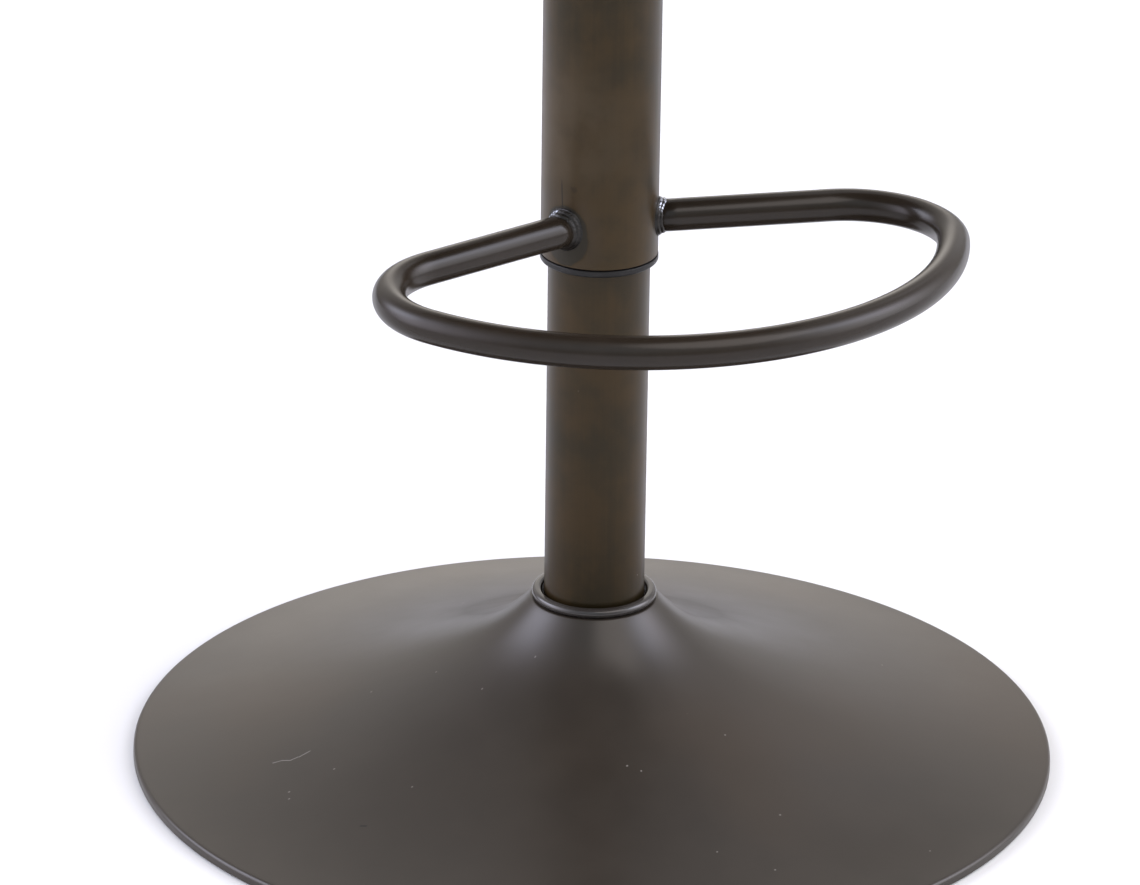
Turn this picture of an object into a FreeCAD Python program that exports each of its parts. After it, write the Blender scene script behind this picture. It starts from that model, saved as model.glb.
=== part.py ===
import FreeCAD, Part
import math
import os
import Sketcher

# Height-adjustable bar stool: trumpet base, fixed column with a gas lift inside,
# sliding outer sleeve that carries the welded D footrest, round padded seat.
# Millimetres, +Z up, origin on the floor under the column axis, front = -Y.
# Drawn at the lowest seat height.

V = FreeCAD.Vector
doc = FreeCAD.newDocument("bar_stool")

# ---------------------------------------------------------------- dimensions
sheet = doc.addObject("Spreadsheet::Sheet", "dims")
TABLE = [
    # base
    ("rim_radius", 231.0, "outer radius of the trumpet base"),
    ("rim_height", 5.5, "height of the rounded rim edge"),
    ("rim_gap", 0.8, "rim lip above the floor"),
    ("shell_wall", 1.5, "spun steel of the base"),
    ("dome_slope", 0.1007, "slope of the dome at the rim"),
    ("dome_bend", 0.002475, "growth of that slope per unit of radius"),
    ("flare_radius", 45.17, "radius where the neck flare turns up"),
    ("flare_width", 8.51, "how gently it turns up"),
    ("neck_radius", 31.9, "outer radius of the neck top"),
    ("neck_hole", 26.2, "radius of the hole in the neck top"),
    ("neck_top", 84.0, "height of the neck top"),
    ("ring_outer", 31.3, "trim ring outer radius"),
    ("ring_rise", 4.5, "trim ring height"),
    ("plate_radius", 221.0, "radius of the load plate"),
    ("plate_bottom", 2.0, "underside of the load plate"),
    ("plate_wall", 3.0, "load plate thickness"),
    ("core_hole", 24.5, "centre hole of plate and ballast"),
    ("ballast_radius", 150.0, "ballast disc radius"),
    ("ballast_wall", 8.0, "ballast disc thickness"),
    ("hub_outer", 29.5, "hub barrel radius"),
    ("hub_flange", 60.0, "hub flange radius"),
    ("hub_flange_wall", 5.0, "hub flange thickness"),
    ("hub_bolt_circle", 46.0, "bolt circle radius of the hub"),
    ("hub_bolt_radius", 4.0, "M8 bolt"),
    ("hub_head_radius", 7.5, "countersunk head"),
    ("pad_inner", 206.0, "floor ring inner radius"),
    ("pad_outer", 219.0, "floor ring outer radius"),
    # column and lift
    ("column_radius", 25.0, "outer column"),
    ("column_bore", 23.0, "inside of the column"),
    ("column_foot", 16.0, "lower end of the column"),
    ("column_top", 510.0, "upper end of the column"),
    ("column_seat", 84.0, "height where the taper starts"),
    ("foot_radius", 23.6, "column radius at the foot of the taper"),
    ("foot_bore", 21.6, "bore at the foot of the column"),
    ("floor_low", 20.0, "underside of the column floor"),
    ("floor_wall", 6.0, "column floor thickness"),
    ("rod_radius", 5.0, "piston rod"),
    ("pin_radius", 4.0, "turned end of the piston rod"),
    ("fit_gap", 0.05, "radial clearance of running fits"),
    ("race_wall", 2.0, "bearing race thickness"),
    ("race_outer", 11.0, "bearing race radius"),
    ("ball_gap", 3.2, "space between the races"),
    ("ball_radius", 1.5, "bearing ball"),
    ("ball_circle", 8.0, "ball circle radius"),
    ("cylinder_radius", 14.0, "gas cylinder"),
    ("cylinder_bore", 12.0, "inside of the gas cylinder"),
    ("cylinder_low", 60.0, "lower end of the gas cylinder"),
    ("taper_low", 518.0, "start of the cylinder's taper"),
    ("taper_radius", 13.2, "radius at the end of the taper"),
    ("piston_low", 292.0, "underside of the piston"),
    ("valve_low", 528.0, "underside of the valve body"),
    ("cylinder_top", 556.0, "top of cylinder and valve body"),
    ("button_radius", 4.0, "valve button"),
    ("button_top", 559.7, "top of the valve button"),
    # sleeve and footrest
    ("sleeve_radius", 28.74, "outer sleeve"),
    ("sleeve_bore", 27.24, "inside of the sleeve"),
    ("sleeve_low", 267.2, "lower end of the sleeve"),
    ("sleeve_top", 555.0, "upper end of the sleeve"),
    ("bush_low", 263.8, "underside of the sleeve bush"),
    ("bush_flange", 29.0, "radius of the bush flange"),
    ("bush_high", 296.0, "top of the sleeve bush"),
    ("footrest_level", 286.6, "height of the footrest centre line"),
    ("footrest_radius", 8.03, "footrest tube"),
    ("footrest_wall", 1.5, "footrest tube wall"),
    ("arm_start_x", 20.0, "inner end of the straight arm"),
    ("arm_start_y", 12.40, "inner end of the straight arm"),
    ("arm_end_x", 107.93, "outer end of the straight arm"),
    ("arm_end_y", 34.47, "outer end of the straight arm"),
    ("arm_angle", 14.09, "arm direction from the side axis, degrees"),
    ("arm_offset", 7.38, "arm line in front of the column axis"),
    ("bow_radius", 157.10, "radius of the front bow"),
    ("bow_reach", 187.83, "front bow in front of the column axis"),
    ("weld_radius", 3.0, "weld bead section"),
    # seat
    ("pan_low", 555.0, "underside of the pressed seat pan"),
    ("pan_high", 572.0, "top of the pan flange"),
    ("pan_wall", 2.5, "pan sheet"),
    ("pan_flange", 160.0, "side of the pan flange"),
    ("pan_box_x", 95.0, "pan box across"),
    ("pan_box_y", 75.0, "pan box front to back"),
    ("seat_bolt_at", 62.0, "seat bolt position in both directions"),
    ("board_radius", 185.0, "plywood board"),
    ("board_wall", 12.0, "plywood board"),
    ("cushion_radius", 196.0, "padded seat"),
    ("cushion_edge", 622.0, "height of the top seam"),
    ("cushion_top", 648.0, "crown of the seat"),
    ("lever_at", 18.0, "lever pivot beside the axis"),
    ("lever_level", 564.0, "lever pivot height"),
    ("lever_rod", 4.0, "lever rod radius"),
    ("lever_pin", 2.5, "lever pivot pin radius"),
    ("lever_slope", 16.0, "downward slope of the outer lever, degrees"),
    ("lever_reach", 176.0, "outer end of the lever rod"),
]
row = 1
for alias, number, note in TABLE:
    sheet.set("A%d" % row, note)
    sheet.set("B%d" % row, str(number))
    sheet.setAlias("B%d" % row, alias)
    row += 1
doc.recompute()


class Size:
    """A number together with the sheet expression that it comes from."""

    def __init__(self, value, text):
        self.value = float(value)
        self.text = text

    def __add__(self, other):
        other = size(other)
        return Size(self.value + other.value, "(%s + %s)" % (self.text, other.text))

    __radd__ = __add__

    def __sub__(self, other):
        other = size(other)
        return Size(self.value - other.value, "(%s - %s)" % (self.text, other.text))

    def __rsub__(self, other):
        return size(other) - self

    def __mul__(self, other):
        other = size(other)
        return Size(self.value * other.value, "(%s * %s)" % (self.text, other.text))

    __rmul__ = __mul__

    def __neg__(self):
        return Size(-self.value, "(0 - %s)" % self.text)


def size(x):
    if isinstance(x, Size):
        return x
    return Size(x, ("(%r)" if x < 0 else "%r") % float(x))


def d(name):
    return Size(sheet.get(name), "dims.%s" % name)


# ---------------------------------------------------------------- helpers
def new_body(label):
    body = doc.addObject("PartDesign::Body", label)
    body.Label = label
    body.Placement = FreeCAD.Placement(V(0, 0, 0), FreeCAD.Rotation())
    return body


def plane(body, role):
    for feature in body.Origin.OriginFeatures:
        if feature.Role == role:
            return feature
    raise ValueError(role)


def new_sketch(body, name, role, lift=None):
    sk = body.newObject("Sketcher::SketchObject", name)
    sk.AttachmentSupport = [(plane(body, role), "")]
    sk.MapMode = "FlatFace"
    if lift is not None:
        lift = size(lift)
        sk.AttachmentOffset = FreeCAD.Placement(V(0, 0, lift.value), FreeCAD.Rotation())
        sk.setExpression("AttachmentOffset.Base.z", lift.text)
    return sk


def tie(sk, kind, geo, pos, amount):
    """Fixes one coordinate of a point, measured from the sketch origin."""
    amount = size(amount)
    if abs(amount.value) < 1e-9:
        sk.addConstraint(Sketcher.Constraint("PointOnObject", geo, pos, -2 if kind == "DistanceX" else -1))
        return
    i = sk.addConstraint(Sketcher.Constraint(kind, -1, 1, geo, pos, amount.value))
    sk.setExpression("Constraints[%d]" % i, amount.text)


def polygon(sk, points):
    """Closed outline; a point given as ("curve", [points]) is a smooth run to the next corner."""
    corners = [p for p in points if p[0] != "curve"]
    runs = {}
    k = -1
    for p in points:
        if p[0] == "curve":
            runs[k] = p[1]
        else:
            k += 1
    geos = []
    n = len(corners)
    for i in range(n):
        a, b = corners[i], corners[(i + 1) % n]
        pa = V(size(a[0]).value, size(a[1]).value, 0)
        pb = V(size(b[0]).value, size(b[1]).value, 0)
        if i in runs:
            curve = Part.BSplineCurve()
            curve.interpolate([pa] + [V(x, z, 0) for x, z in runs[i]] + [pb])
            geos.append(sk.addGeometry(curve, False))
        else:
            geos.append(sk.addGeometry(Part.LineSegment(pa, pb), False))
    for i in range(n):
        sk.addConstraint(Sketcher.Constraint("Coincident", geos[i], 2, geos[(i + 1) % n], 1))
    for i in range(n):
        tie(sk, "DistanceX", geos[i], 1, corners[i][0])
        tie(sk, "DistanceY", geos[i], 1, corners[i][1])
    return geos


def circle(sk, x, y, radius):
    x, y, radius = size(x), size(y), size(radius)
    g = sk.addGeometry(Part.Circle(V(x.value, y.value, 0), V(0, 0, 1), radius.value), False)
    if abs(x.value) < 1e-9 and abs(y.value) < 1e-9:
        sk.addConstraint(Sketcher.Constraint("Coincident", g, 3, -1, 1))
    else:
        tie(sk, "DistanceX", g, 3, x)
        tie(sk, "DistanceY", g, 3, y)
    i = sk.addConstraint(Sketcher.Constraint("Radius", g, radius.value))
    sk.setExpression("Constraints[%d]" % i, radius.text)
    return g


def hexagon(sk, x, y, flats):
    """Hexagon of the given width across flats around a point."""
    x, y, flats = size(x), size(y), size(flats)
    ratio = 1.0 / math.sqrt(3.0)
    side = flats * (0.5 * ratio)
    half = flats * 0.5
    tip = flats * ratio
    polygon(sk, [(x + tip, y), (x + side, y + half), (x - side, y + half),
                 (x - tip, y), (x - side, y - half), (x + side, y - half)])


def rectangle(sk, x0, y0, x1, y1):
    polygon(sk, [(x0, y0), (x1, y0), (x1, y1), (x0, y1)])


def revolve(body, sk, name="turned"):
    rev = body.newObject("PartDesign::Revolution", name)
    rev.Profile = sk
    rev.ReferenceAxis = (sk, ["V_Axis"])
    rev.Angle = 360.0
    rev.Reversed = False
    sk.Visibility = False
    body.Tip = rev
    return rev


def pad(body, sk, name, length, taper=0.0, middle=False):
    length = size(length)
    p = body.newObject("PartDesign::Pad", name)
    p.Profile = sk
    p.Type = 0
    p.Length = length.value
    p.setExpression("Length", length.text)
    p.Midplane = middle
    if taper:
        p.TaperAngle = taper
    body.Tip = p
    return p


def pocket(body, sk, name, length=None, middle=False, reverse=False):
    p = body.newObject("PartDesign::Pocket", name)
    p.Profile = sk
    if length is None:
        p.Type = 1
    else:
        length = size(length)
        p.Type = 0
        p.Length = length.value
        p.setExpression("Length", length.text)
    p.Midplane = middle
    p.Reversed = reverse
    body.Tip = p
    return p


def polar(body, features, name, count):
    pat = body.newObject("PartDesign::PolarPattern", name)
    pat.Originals = features
    pat.Axis = (plane(body, "Z_Axis"), [""])
    pat.Angle = 360.0
    pat.Occurrences = count
    body.Tip = pat
    return pat


def find_edges(feature, wanted):
    """Names of the edges of a feature for which wanted(edge) is true."""
    return ["Edge%d" % (i + 1) for i, e in enumerate(feature.Shape.Edges) if wanted(e)]


def ring_edge(radius, level, tol=0.02):
    def test(e):
        c = e.Curve
        return (c.TypeId == "Part::GeomCircle" and abs(c.Radius - radius) < tol
                and abs(c.Center.z - level) < tol and abs(c.Center.x) < tol and abs(c.Center.y) < tol)
    return test


def dress(body, feature, kind, names, amount, label):
    if not names:
        raise ValueError("no edges for %s of %s" % (label, body.Label))
    f = body.newObject("PartDesign::" + kind, label)
    f.Base = (feature, names)
    if kind == "Fillet":
        f.Radius = amount
    else:
        f.Size = amount
    body.Tip = f
    doc.recompute()
    return f


def turned(label, points, rounds=(), bevels=()):
    """Body of revolution about the column axis; rounds and bevels are (radius, level, amount)."""
    body = new_body(label)
    sk = new_sketch(body, label + "_profile", "XZ_Plane")
    polygon(sk, points)
    last = revolve(body, sk, label + "_turned")
    doc.recompute()
    for kind, group in (("Fillet", rounds), ("Chamfer", bevels)):
        for k, (radius, level, amount) in enumerate(group):
            names = find_edges(last, ring_edge(size(radius).value, size(level).value))
            last = dress(body, last, kind, names, amount, "%s_%s%d" % (label, kind.lower(), k))
    return body


def tube(label, inner, outer, low, high, rounds=(), bevels=()):
    return turned(label, [(inner, low), (outer, low), (outer, high), (inner, high)], rounds, bevels)


PARTS = []


def keep(obj):
    PARTS.append(obj)
    return obj


# ---------------------------------------------------------------- trumpet base
rim, wall = d("rim_radius"), d("shell_wall")
dome_slope, dome_bend = sheet.get("dome_slope"), sheet.get("dome_bend")
turn, width = sheet.get("flare_radius"), sheet.get("flare_width")


def dome_height(r):
    run = rim.value - r
    return sheet.get("rim_height") + dome_slope * run + dome_bend * run * run / 2.0


def flare_share(r):
    return width * math.log(1.0 + math.exp((turn - r) / width))


# the flare meets the neck at the height of the neck top
LIFT = ((sheet.get("neck_top") - dome_height(sheet.get("neck_radius")))
        / (flare_share(sheet.get("neck_radius")) - flare_share(rim.value)))


def flare_height(r):
    return dome_height(r) + LIFT * (flare_share(r) - flare_share(rim.value))


def flare_point(r, depth):
    """Point of the flare at radius r, moved inwards along its normal by depth."""
    g = (flare_height(r + 0.05) - flare_height(r - 0.05)) / 0.1
    n = math.hypot(1.0, g)
    return (r + depth * g / n, flare_height(r) - depth / n)


STEPS = [34.0, 37.5, 42.0, 48.0, 56.0, 64.0, 74.0, 86.0, 100.0, 116.0, 134.0, 154.0, 176.0, 198.0, 216.0]
outside = [flare_point(r, 0.0) for r in STEPS]
inside = [flare_point(r, wall.value) for r in STEPS]
inside.reverse()
shell = new_body("base_shell")
sk = new_sketch(shell, "shell_profile", "XZ_Plane")
polygon(sk, [
    (d("neck_hole"), d("neck_top") - wall), (d("neck_hole"), d("neck_top")), (d("neck_radius"), d("neck_top")),
    ("curve", outside),
    (rim, d("rim_height")), (rim, d("rim_gap")), (rim - wall, d("rim_gap")), (rim - wall, d("rim_height") - wall),
    ("curve", inside),
    (d("neck_radius") - 1.0, d("neck_top") - wall),
])
turned_shell = revolve(shell, sk, "shell_spun")
doc.recompute()
f = dress(shell, turned_shell, "Fillet", find_edges(turned_shell, ring_edge(231.0, 5.5)), 2.2, "rim_round")
dress(shell, f, "Fillet", find_edges(f, ring_edge(31.9, 84.0)), 1.0, "neck_round")
keep(shell)

top = d("neck_top")
keep(tube("neck_ring", d("neck_hole"), d("ring_outer"), top, top + d("ring_rise"),
          rounds=[(31.3, 84.0, 2.2), (31.3, 88.5, 2.2), (26.2, 88.5, 1.6)]))

# load plate under the shell, with countersunk bolt holes
plate = new_body("base_plate")
sk = new_sketch(plate, "plate_outline", "XY_Plane", d("plate_bottom"))
circle(sk, 0, 0, d("plate_radius"))
circle(sk, 0, 0, d("core_hole"))
disc = pad(plate, sk, "plate_disc", d("plate_wall"))
sk = new_sketch(plate, "plate_hole", "XY_Plane", d("plate_bottom"))
circle(sk, d("hub_bolt_circle"), 0, d("hub_bolt_radius") + 0.5)
hole = pocket(plate, sk, "plate_bolt_hole", None, reverse=True)
doc.recompute()


def near_circle(x, y, radius, level):
    def test(e):
        c = e.Curve
        return (c.TypeId == "Part::GeomCircle" and abs(c.Radius - radius) < 0.02
                and abs(c.Center.x - x) < 0.05 and abs(c.Center.y - y) < 0.05 and abs(c.Center.z - level) < 0.02)
    return test


sk = new_sketch(plate, "plate_sink", "XY_Plane", d("plate_bottom"))
circle(sk, d("hub_bolt_circle"), 0, d("hub_head_radius"))
sink = pocket(plate, sk, "plate_countersink", d("plate_wall"), reverse=True)
sink.TaperAngle = -45.0
polar(plate, [hole, sink], "plate_holes", 4)
keep(plate)

ballast = new_body("ballast_disc")
low = d("plate_bottom") + d("plate_wall")
sk = new_sketch(ballast, "ballast_outline", "XY_Plane", low)
circle(sk, 0, 0, d("ballast_radius"))
circle(sk, 0, 0, d("core_hole"))
pad(ballast, sk, "ballast_block", d("ballast_wall"))
sk = new_sketch(ballast, "ballast_hole", "XY_Plane", low)
circle(sk, d("hub_bolt_circle"), 0, d("hub_bolt_radius") + 0.5)
hole = pocket(ballast, sk, "ballast_bolt_hole", None, reverse=True)
pat = polar(ballast, [hole], "ballast_holes", 4)
doc.recompute()
dress(ballast, pat, "Chamfer", find_edges(pat, ring_edge(150.0, 13.0)), 1.5, "ballast_edge")
keep(ballast)

# hub: tapered socket with a bolting flange
hub_low = low + d("ballast_wall")
hub_top = d("neck_top") - wall
hub = new_body("hub_socket")
sk = new_sketch(hub, "hub_profile", "XZ_Plane")
foot_z = d("column_foot")
polygon(sk, [
    (d("foot_radius") - 0.06, hub_low), (d("hub_flange"), hub_low),
    (d("hub_flange"), hub_low + d("hub_flange_wall")), (d("hub_outer"), hub_low + d("hub_flange_wall")),
    (d("hub_outer"), hub_top), (d("column_radius"), hub_top), (d("column_radius"), hub_top - 0.1),
    (d("foot_radius"), foot_z), (d("foot_radius") - 0.06, foot_z),
])
body_hub = revolve(hub, sk, "hub_turned")
sk = new_sketch(hub, "hub_hole", "XY_Plane", hub_low)
circle(sk, d("hub_bolt_circle"), 0, d("hub_bolt_radius") + 0.2)
hole = pocket(hub, sk, "hub_bolt_hole", d("hub_flange_wall") + 1.0, reverse=True)
pat = polar(hub, [hole], "hub_holes", 4)
doc.recompute()
dress(hub, pat, "Fillet", find_edges(pat, ring_edge(29.5, 18.0)), 4.0, "hub_root")
keep(hub)

bolts = new_body("hub_bolts")
sk = new_sketch(bolts, "head_outline", "XY_Plane", d("plate_bottom"))
circle(sk, d("hub_bolt_circle"), 0, d("hub_head_radius"))
head = pad(bolts, sk, "bolt_head", 3.5, taper=-45.0)
sk = new_sketch(bolts, "shank_outline", "XY_Plane", d("plate_bottom"))
circle(sk, d("hub_bolt_circle"), 0, d("hub_bolt_radius"))
shank = pad(bolts, sk, "bolt_shank", 25.5)
sk = new_sketch(bolts, "drive_outline", "XY_Plane", d("plate_bottom"))
hexagon(sk, d("hub_bolt_circle"), 0, 5.0)
drive = pocket(bolts, sk, "bolt_drive", 2.2, reverse=True)
polar(bolts, [head, shank, drive], "bolt_set", 4)
keep(bolts)

nuts = new_body("hub_nuts")
sk = new_sketch(nuts, "nut_outline", "XY_Plane", hub_low + d("hub_flange_wall"))
hexagon(sk, d("hub_bolt_circle"), 0, 13.0)
circle(sk, d("hub_bolt_circle"), 0, d("hub_bolt_radius"))
nut = pad(nuts, sk, "nut_block", 6.5)
polar(nuts, [nut], "nut_set", 4)
keep(nuts)

keep(tube("floor_ring", d("pad_inner"), d("pad_outer"), 0, d("plate_bottom"),
          rounds=[(206.0, 0.0, 0.8), (219.0, 0.0, 0.8)]))

# ---------------------------------------------------------------- fixed column
keep(turned("outer_column", [
    (d("foot_bore"), d("column_foot")), (d("foot_radius"), d("column_foot")),
    (d("column_radius"), hub_top - 0.1), (d("column_radius"), d("column_top")),
    (d("column_bore"), d("column_top")), (d("column_bore"), d("column_foot") + 44.0),
    (d("foot_bore"), d("column_foot") + 36.0),
], bevels=[(25.0, 510.0, 0.6)]))

fl, fw = d("floor_low"), d("floor_wall")
keep(tube("column_floor", d("pin_radius") + d("fit_gap"), d("foot_bore"), fl, fl + fw))

race_low = fl + fw
keep(tube("bearing_lower_race", d("pin_radius") + 0.3, d("race_outer"), race_low, race_low + d("race_wall"),
          bevels=[(11.0, 28.0, 0.3)]))

keep(turned("guide_bush", [
    (d("cylinder_radius") + d("fit_gap"), d("column_top") - 80.0), (d("column_bore"), d("column_top") - 80.0),
    (d("column_bore"), d("column_top")), (d("column_radius"), d("column_top")),
    (d("column_radius"), d("column_top") + 3.0), (d("cylinder_radius") + d("fit_gap"), d("column_top") + 3.0),
], rounds=[(25.0, 513.0, 1.0)]))

keep(tube("column_glide", d("column_radius"), d("sleeve_bore") - d("fit_gap"),
          d("column_top") - 12.0, d("column_top") - 1.0, bevels=[(27.19, 509.0, 0.5), (27.19, 498.0, 0.5)]))

# ---------------------------------------------------------------- turning rod
upper_low = race_low + d("race_wall") + d("ball_gap")
upper_top = upper_low + d("race_wall")
keep(turned("piston_rod", [
    (0, 13.5), (d("pin_radius"), 13.5), (d("pin_radius"), 18.2), (d("pin_radius") - 0.6, 18.2),
    (d("pin_radius") - 0.6, 19.4), (d("pin_radius"), 19.4), (d("pin_radius"), upper_top),
    (d("rod_radius"), upper_top), (d("rod_radius"), d("piston_low")), (3.0, d("piston_low")),
    (3.0, d("piston_low") + 14.0), (0, d("piston_low") + 14.0),
], bevels=[(4.0, 13.5, 0.6)]))

balls = new_body("bearing_balls")
ball_z = race_low + d("race_wall") + d("ball_gap") * 0.5
sk = new_sketch(balls, "ball_profile", "XZ_Plane")
c, r = d("ball_circle"), d("ball_radius")
arc = sk.addGeometry(Part.ArcOfCircle(Part.Circle(V(c.value, ball_z.value, 0), V(0, 0, 1), r.value),
                                      -math.pi / 2, math.pi / 2), False)
line = sk.addGeometry(Part.LineSegment(V(c.value, ball_z.value + r.value, 0), V(c.value, ball_z.value - r.value, 0)), False)
sk.addConstraint(Sketcher.Constraint("Coincident", arc, 2, line, 1))
sk.addConstraint(Sketcher.Constraint("Coincident", arc, 1, line, 2))
sk.addConstraint(Sketcher.Constraint("PointOnObject", arc, 3, line))
sk.addConstraint(Sketcher.Constraint("Vertical", line))
tie(sk, "DistanceX", arc, 3, c)
tie(sk, "DistanceY", arc, 3, ball_z)
i = sk.addConstraint(Sketcher.Constraint("Radius", arc, r.value))
sk.setExpression("Constraints[%d]" % i, r.text)
one = balls.newObject("PartDesign::Revolution", "ball_turned")
one.Profile = sk
one.ReferenceAxis = (sk, ["Edge2"])
one.Angle = 360.0
balls.Tip = one
polar(balls, [one], "ball_set", 12)
keep(balls)

cage = new_body("bearing_cage")
sk = new_sketch(cage, "cage_outline", "XY_Plane", ball_z - 0.7)
circle(sk, 0, 0, d("ball_circle") + 2.3)
circle(sk, 0, 0, d("ball_circle") - 2.3)
ring = pad(cage, sk, "cage_ring", 1.4)
sk = new_sketch(cage, "cage_hole", "XY_Plane", ball_z - 0.7)
circle(sk, d("ball_circle"), 0, d("ball_radius") + 0.08)
hole = pocket(cage, sk, "cage_seat", None, reverse=True)
polar(cage, [hole], "cage_seats", 12)
keep(cage)

keep(tube("bearing_upper_race", d("pin_radius"), d("race_outer"), upper_low, upper_top, bevels=[(11.0, 31.2, 0.3)]))

clip = new_body("rod_clip")
sk = new_sketch(clip, "clip_outline", "XY_Plane", 18.2)
circle(sk, 0, 0, 7.2)
circle(sk, 0, 0, d("pin_radius") - 0.6)
pad(clip, sk, "clip_ring", 1.2)
sk = new_sketch(clip, "clip_gap", "XY_Plane", 18.2)
rectangle(sk, 0.0, -2.4, 10.0, 2.4)
pocket(clip, sk, "clip_opening", None, reverse=True)
keep(clip)

keep(tube("clip_washer", d("pin_radius"), 8.0, 19.4, 19.9))

keep(tube("rubber_buffer", d("rod_radius"), 12.0, upper_top, d("cylinder_low") - 2.0,
          rounds=[(12.0, 58.0, 1.5), (12.0, 33.2, 1.5)]))

keep(tube("piston", 3.0, d("cylinder_bore") - d("fit_gap"), d("piston_low"), d("piston_low") + 10.0))

# ---------------------------------------------------------------- lifting carriage
keep(turned("gas_cylinder", [
    (d("cylinder_bore"), d("cylinder_low")), (d("cylinder_radius"), d("cylinder_low")),
    (d("cylinder_radius"), d("taper_low")), (d("taper_radius"), d("cylinder_top")),
    (d("cylinder_bore"), d("cylinder_top")),
], bevels=[(14.0, 60.0, 0.8)]))

keep(tube("cylinder_gland", d("rod_radius") + d("fit_gap"), d("cylinder_bore"), d("cylinder_low"), d("cylinder_low") + 14.0))

keep(turned("valve_body", [
    (0, d("valve_low")), (d("cylinder_bore"), d("valve_low")), (d("cylinder_bore"), d("cylinder_top")),
    (d("button_radius") + d("fit_gap"), d("cylinder_top")), (d("button_radius") + d("fit_gap"), d("valve_low") + 12.0),
    (0, d("valve_low") + 12.0),
]))

keep(turned("valve_button", [
    (0, d("valve_low") + 16.0), (d("button_radius"), d("valve_low") + 16.0),
    (d("button_radius"), d("button_top")), (0, d("button_top")),
], rounds=[(4.0, 559.7, 0.8)]))

# radius of the cylinder's taper where it leaves the socket
taper_end = 14.0 - (555.0 - 518.0) * (14.0 - 13.2) / (556.0 - 518.0)
tl, tr, cr = d("taper_low"), d("taper_radius"), d("cylinder_radius")
keep(turned("taper_socket", [
    (cr, tl), (20.0, tl), (20.0, d("sleeve_top")),
    (cr - (cr - tr) * ((555.0 - 518.0) / (556.0 - 518.0)), d("sleeve_top")),
], bevels=[(20.0, 518.0, 1.0)]))

keep(tube("sleeve_collar", 20.0, d("sleeve_bore"), d("sleeve_top") - 10.0, d("sleeve_top")))

keep(tube("sleeve", d("sleeve_bore"), d("sleeve_radius"), d("sleeve_low"), d("sleeve_top"),
          bevels=[(28.74, 267.2, 0.35)]))

keep(turned("sleeve_bush", [
    (d("column_radius") + d("fit_gap"), d("bush_low")), (d("bush_flange"), d("bush_low")),
    (d("bush_flange"), d("sleeve_low")), (d("sleeve_bore"), d("sleeve_low")),
    (d("sleeve_bore"), d("bush_high")), (d("column_radius") + d("fit_gap"), d("bush_high")),
], rounds=[(29.0, 263.8, 1.3), (29.0, 267.2, 0.4)], bevels=[(25.05, 263.8, 0.5)]))

# D footrest: straight arms, rounded corners and a wide front bow, one bent tube
rest = new_body("footrest")
level = d("footrest_level")
path = new_sketch(rest, "footrest_path", "XY_Plane", level)
R, reach = d("bow_radius"), d("bow_reach")
beta = math.radians(sheet.get("arm_angle"))
ex, ey = sheet.get("arm_end_x"), sheet.get("arm_end_y")
# corner circle: on the normal of the arm end, touching the bow from inside
nx, ny = -math.sin(beta), math.cos(beta)
cy = reach.value - R.value
ax, ay = ex, ey - cy
# |(ax, ay) + q n| = R - q
q = (R.value ** 2 - ax * ax - ay * ay) / (2.0 * (R.value + ax * nx + ay * ny))
kx, ky = ex + q * nx, ey + q * ny
turn = math.atan2(ky - cy, kx)
# drawn with the front towards -Y
right_arm = path.addGeometry(Part.LineSegment(V(20.0, -12.4, 0), V(ex, -ey, 0)), False)
a_from = math.atan2(-(ey - ky), ex - kx)
right_corner = path.addGeometry(Part.ArcOfCircle(Part.Circle(V(kx, -ky, 0), V(0, 0, 1), q), -turn, a_from), False)
bow = path.addGeometry(Part.ArcOfCircle(Part.Circle(V(0, -cy, 0), V(0, 0, 1), R.value), -math.pi + turn, -turn), False)
left_corner = path.addGeometry(Part.ArcOfCircle(Part.Circle(V(-kx, -ky, 0), V(0, 0, 1), q), math.pi - a_from, math.pi + turn), False)
left_arm = path.addGeometry(Part.LineSegment(V(-20.0, -12.4, 0), V(-ex, -ey, 0)), False)
C = Sketcher.Constraint
for a, b, c2, e2 in ((right_arm, 2, right_corner, 2), (right_corner, 1, bow, 2), (bow, 1, left_corner, 2), (left_corner, 1, left_arm, 2)):
    path.addConstraint(C("Tangent", a, b, c2, e2))
tie(path, "DistanceX", right_arm, 1, d("arm_start_x"))
tie(path, "DistanceY", right_arm, 1, -d("arm_start_y"))
tie(path, "DistanceX", right_arm, 2, d("arm_end_x"))
tie(path, "DistanceY", right_arm, 2, -d("arm_end_y"))
tie(path, "DistanceX", left_arm, 1, -d("arm_start_x"))
tie(path, "DistanceY", left_arm, 1, -d("arm_start_y"))
tie(path, "DistanceX", left_arm, 2, -d("arm_end_x"))
tie(path, "DistanceY", left_arm, 2, -d("arm_end_y"))
path.addConstraint(C("PointOnObject", bow, 3, -2))
i = path.addConstraint(C("Radius", bow, R.value))
path.setExpression("Constraints[%d]" % i, R.text)
doc.recompute()
# tube section, square to the right arm at its inner end
sect = rest.newObject("Sketcher::SketchObject", "footrest_section")
sect.AttachmentSupport = [(path, "Edge1")]
sect.MapMode = "NormalToEdge"
circle(sect, 0, 0, d("footrest_radius"))
circle(sect, 0, 0, d("footrest_radius") - d("footrest_wall"))
doc.recompute()
pipe = rest.newObject("PartDesign::AdditivePipe", "footrest_tube")
pipe.Profile = sect
pipe.Spine = (path, ["Edge1", "Edge2", "Edge3", "Edge4", "Edge5"])
rest.Tip = pipe
sk = new_sketch(rest, "cope_outline", "XY_Plane", level)
circle(sk, 0, 0, d("sleeve_radius"))
pocket(rest, sk, "cope", 40.0, middle=True)
keep(rest)

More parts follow.
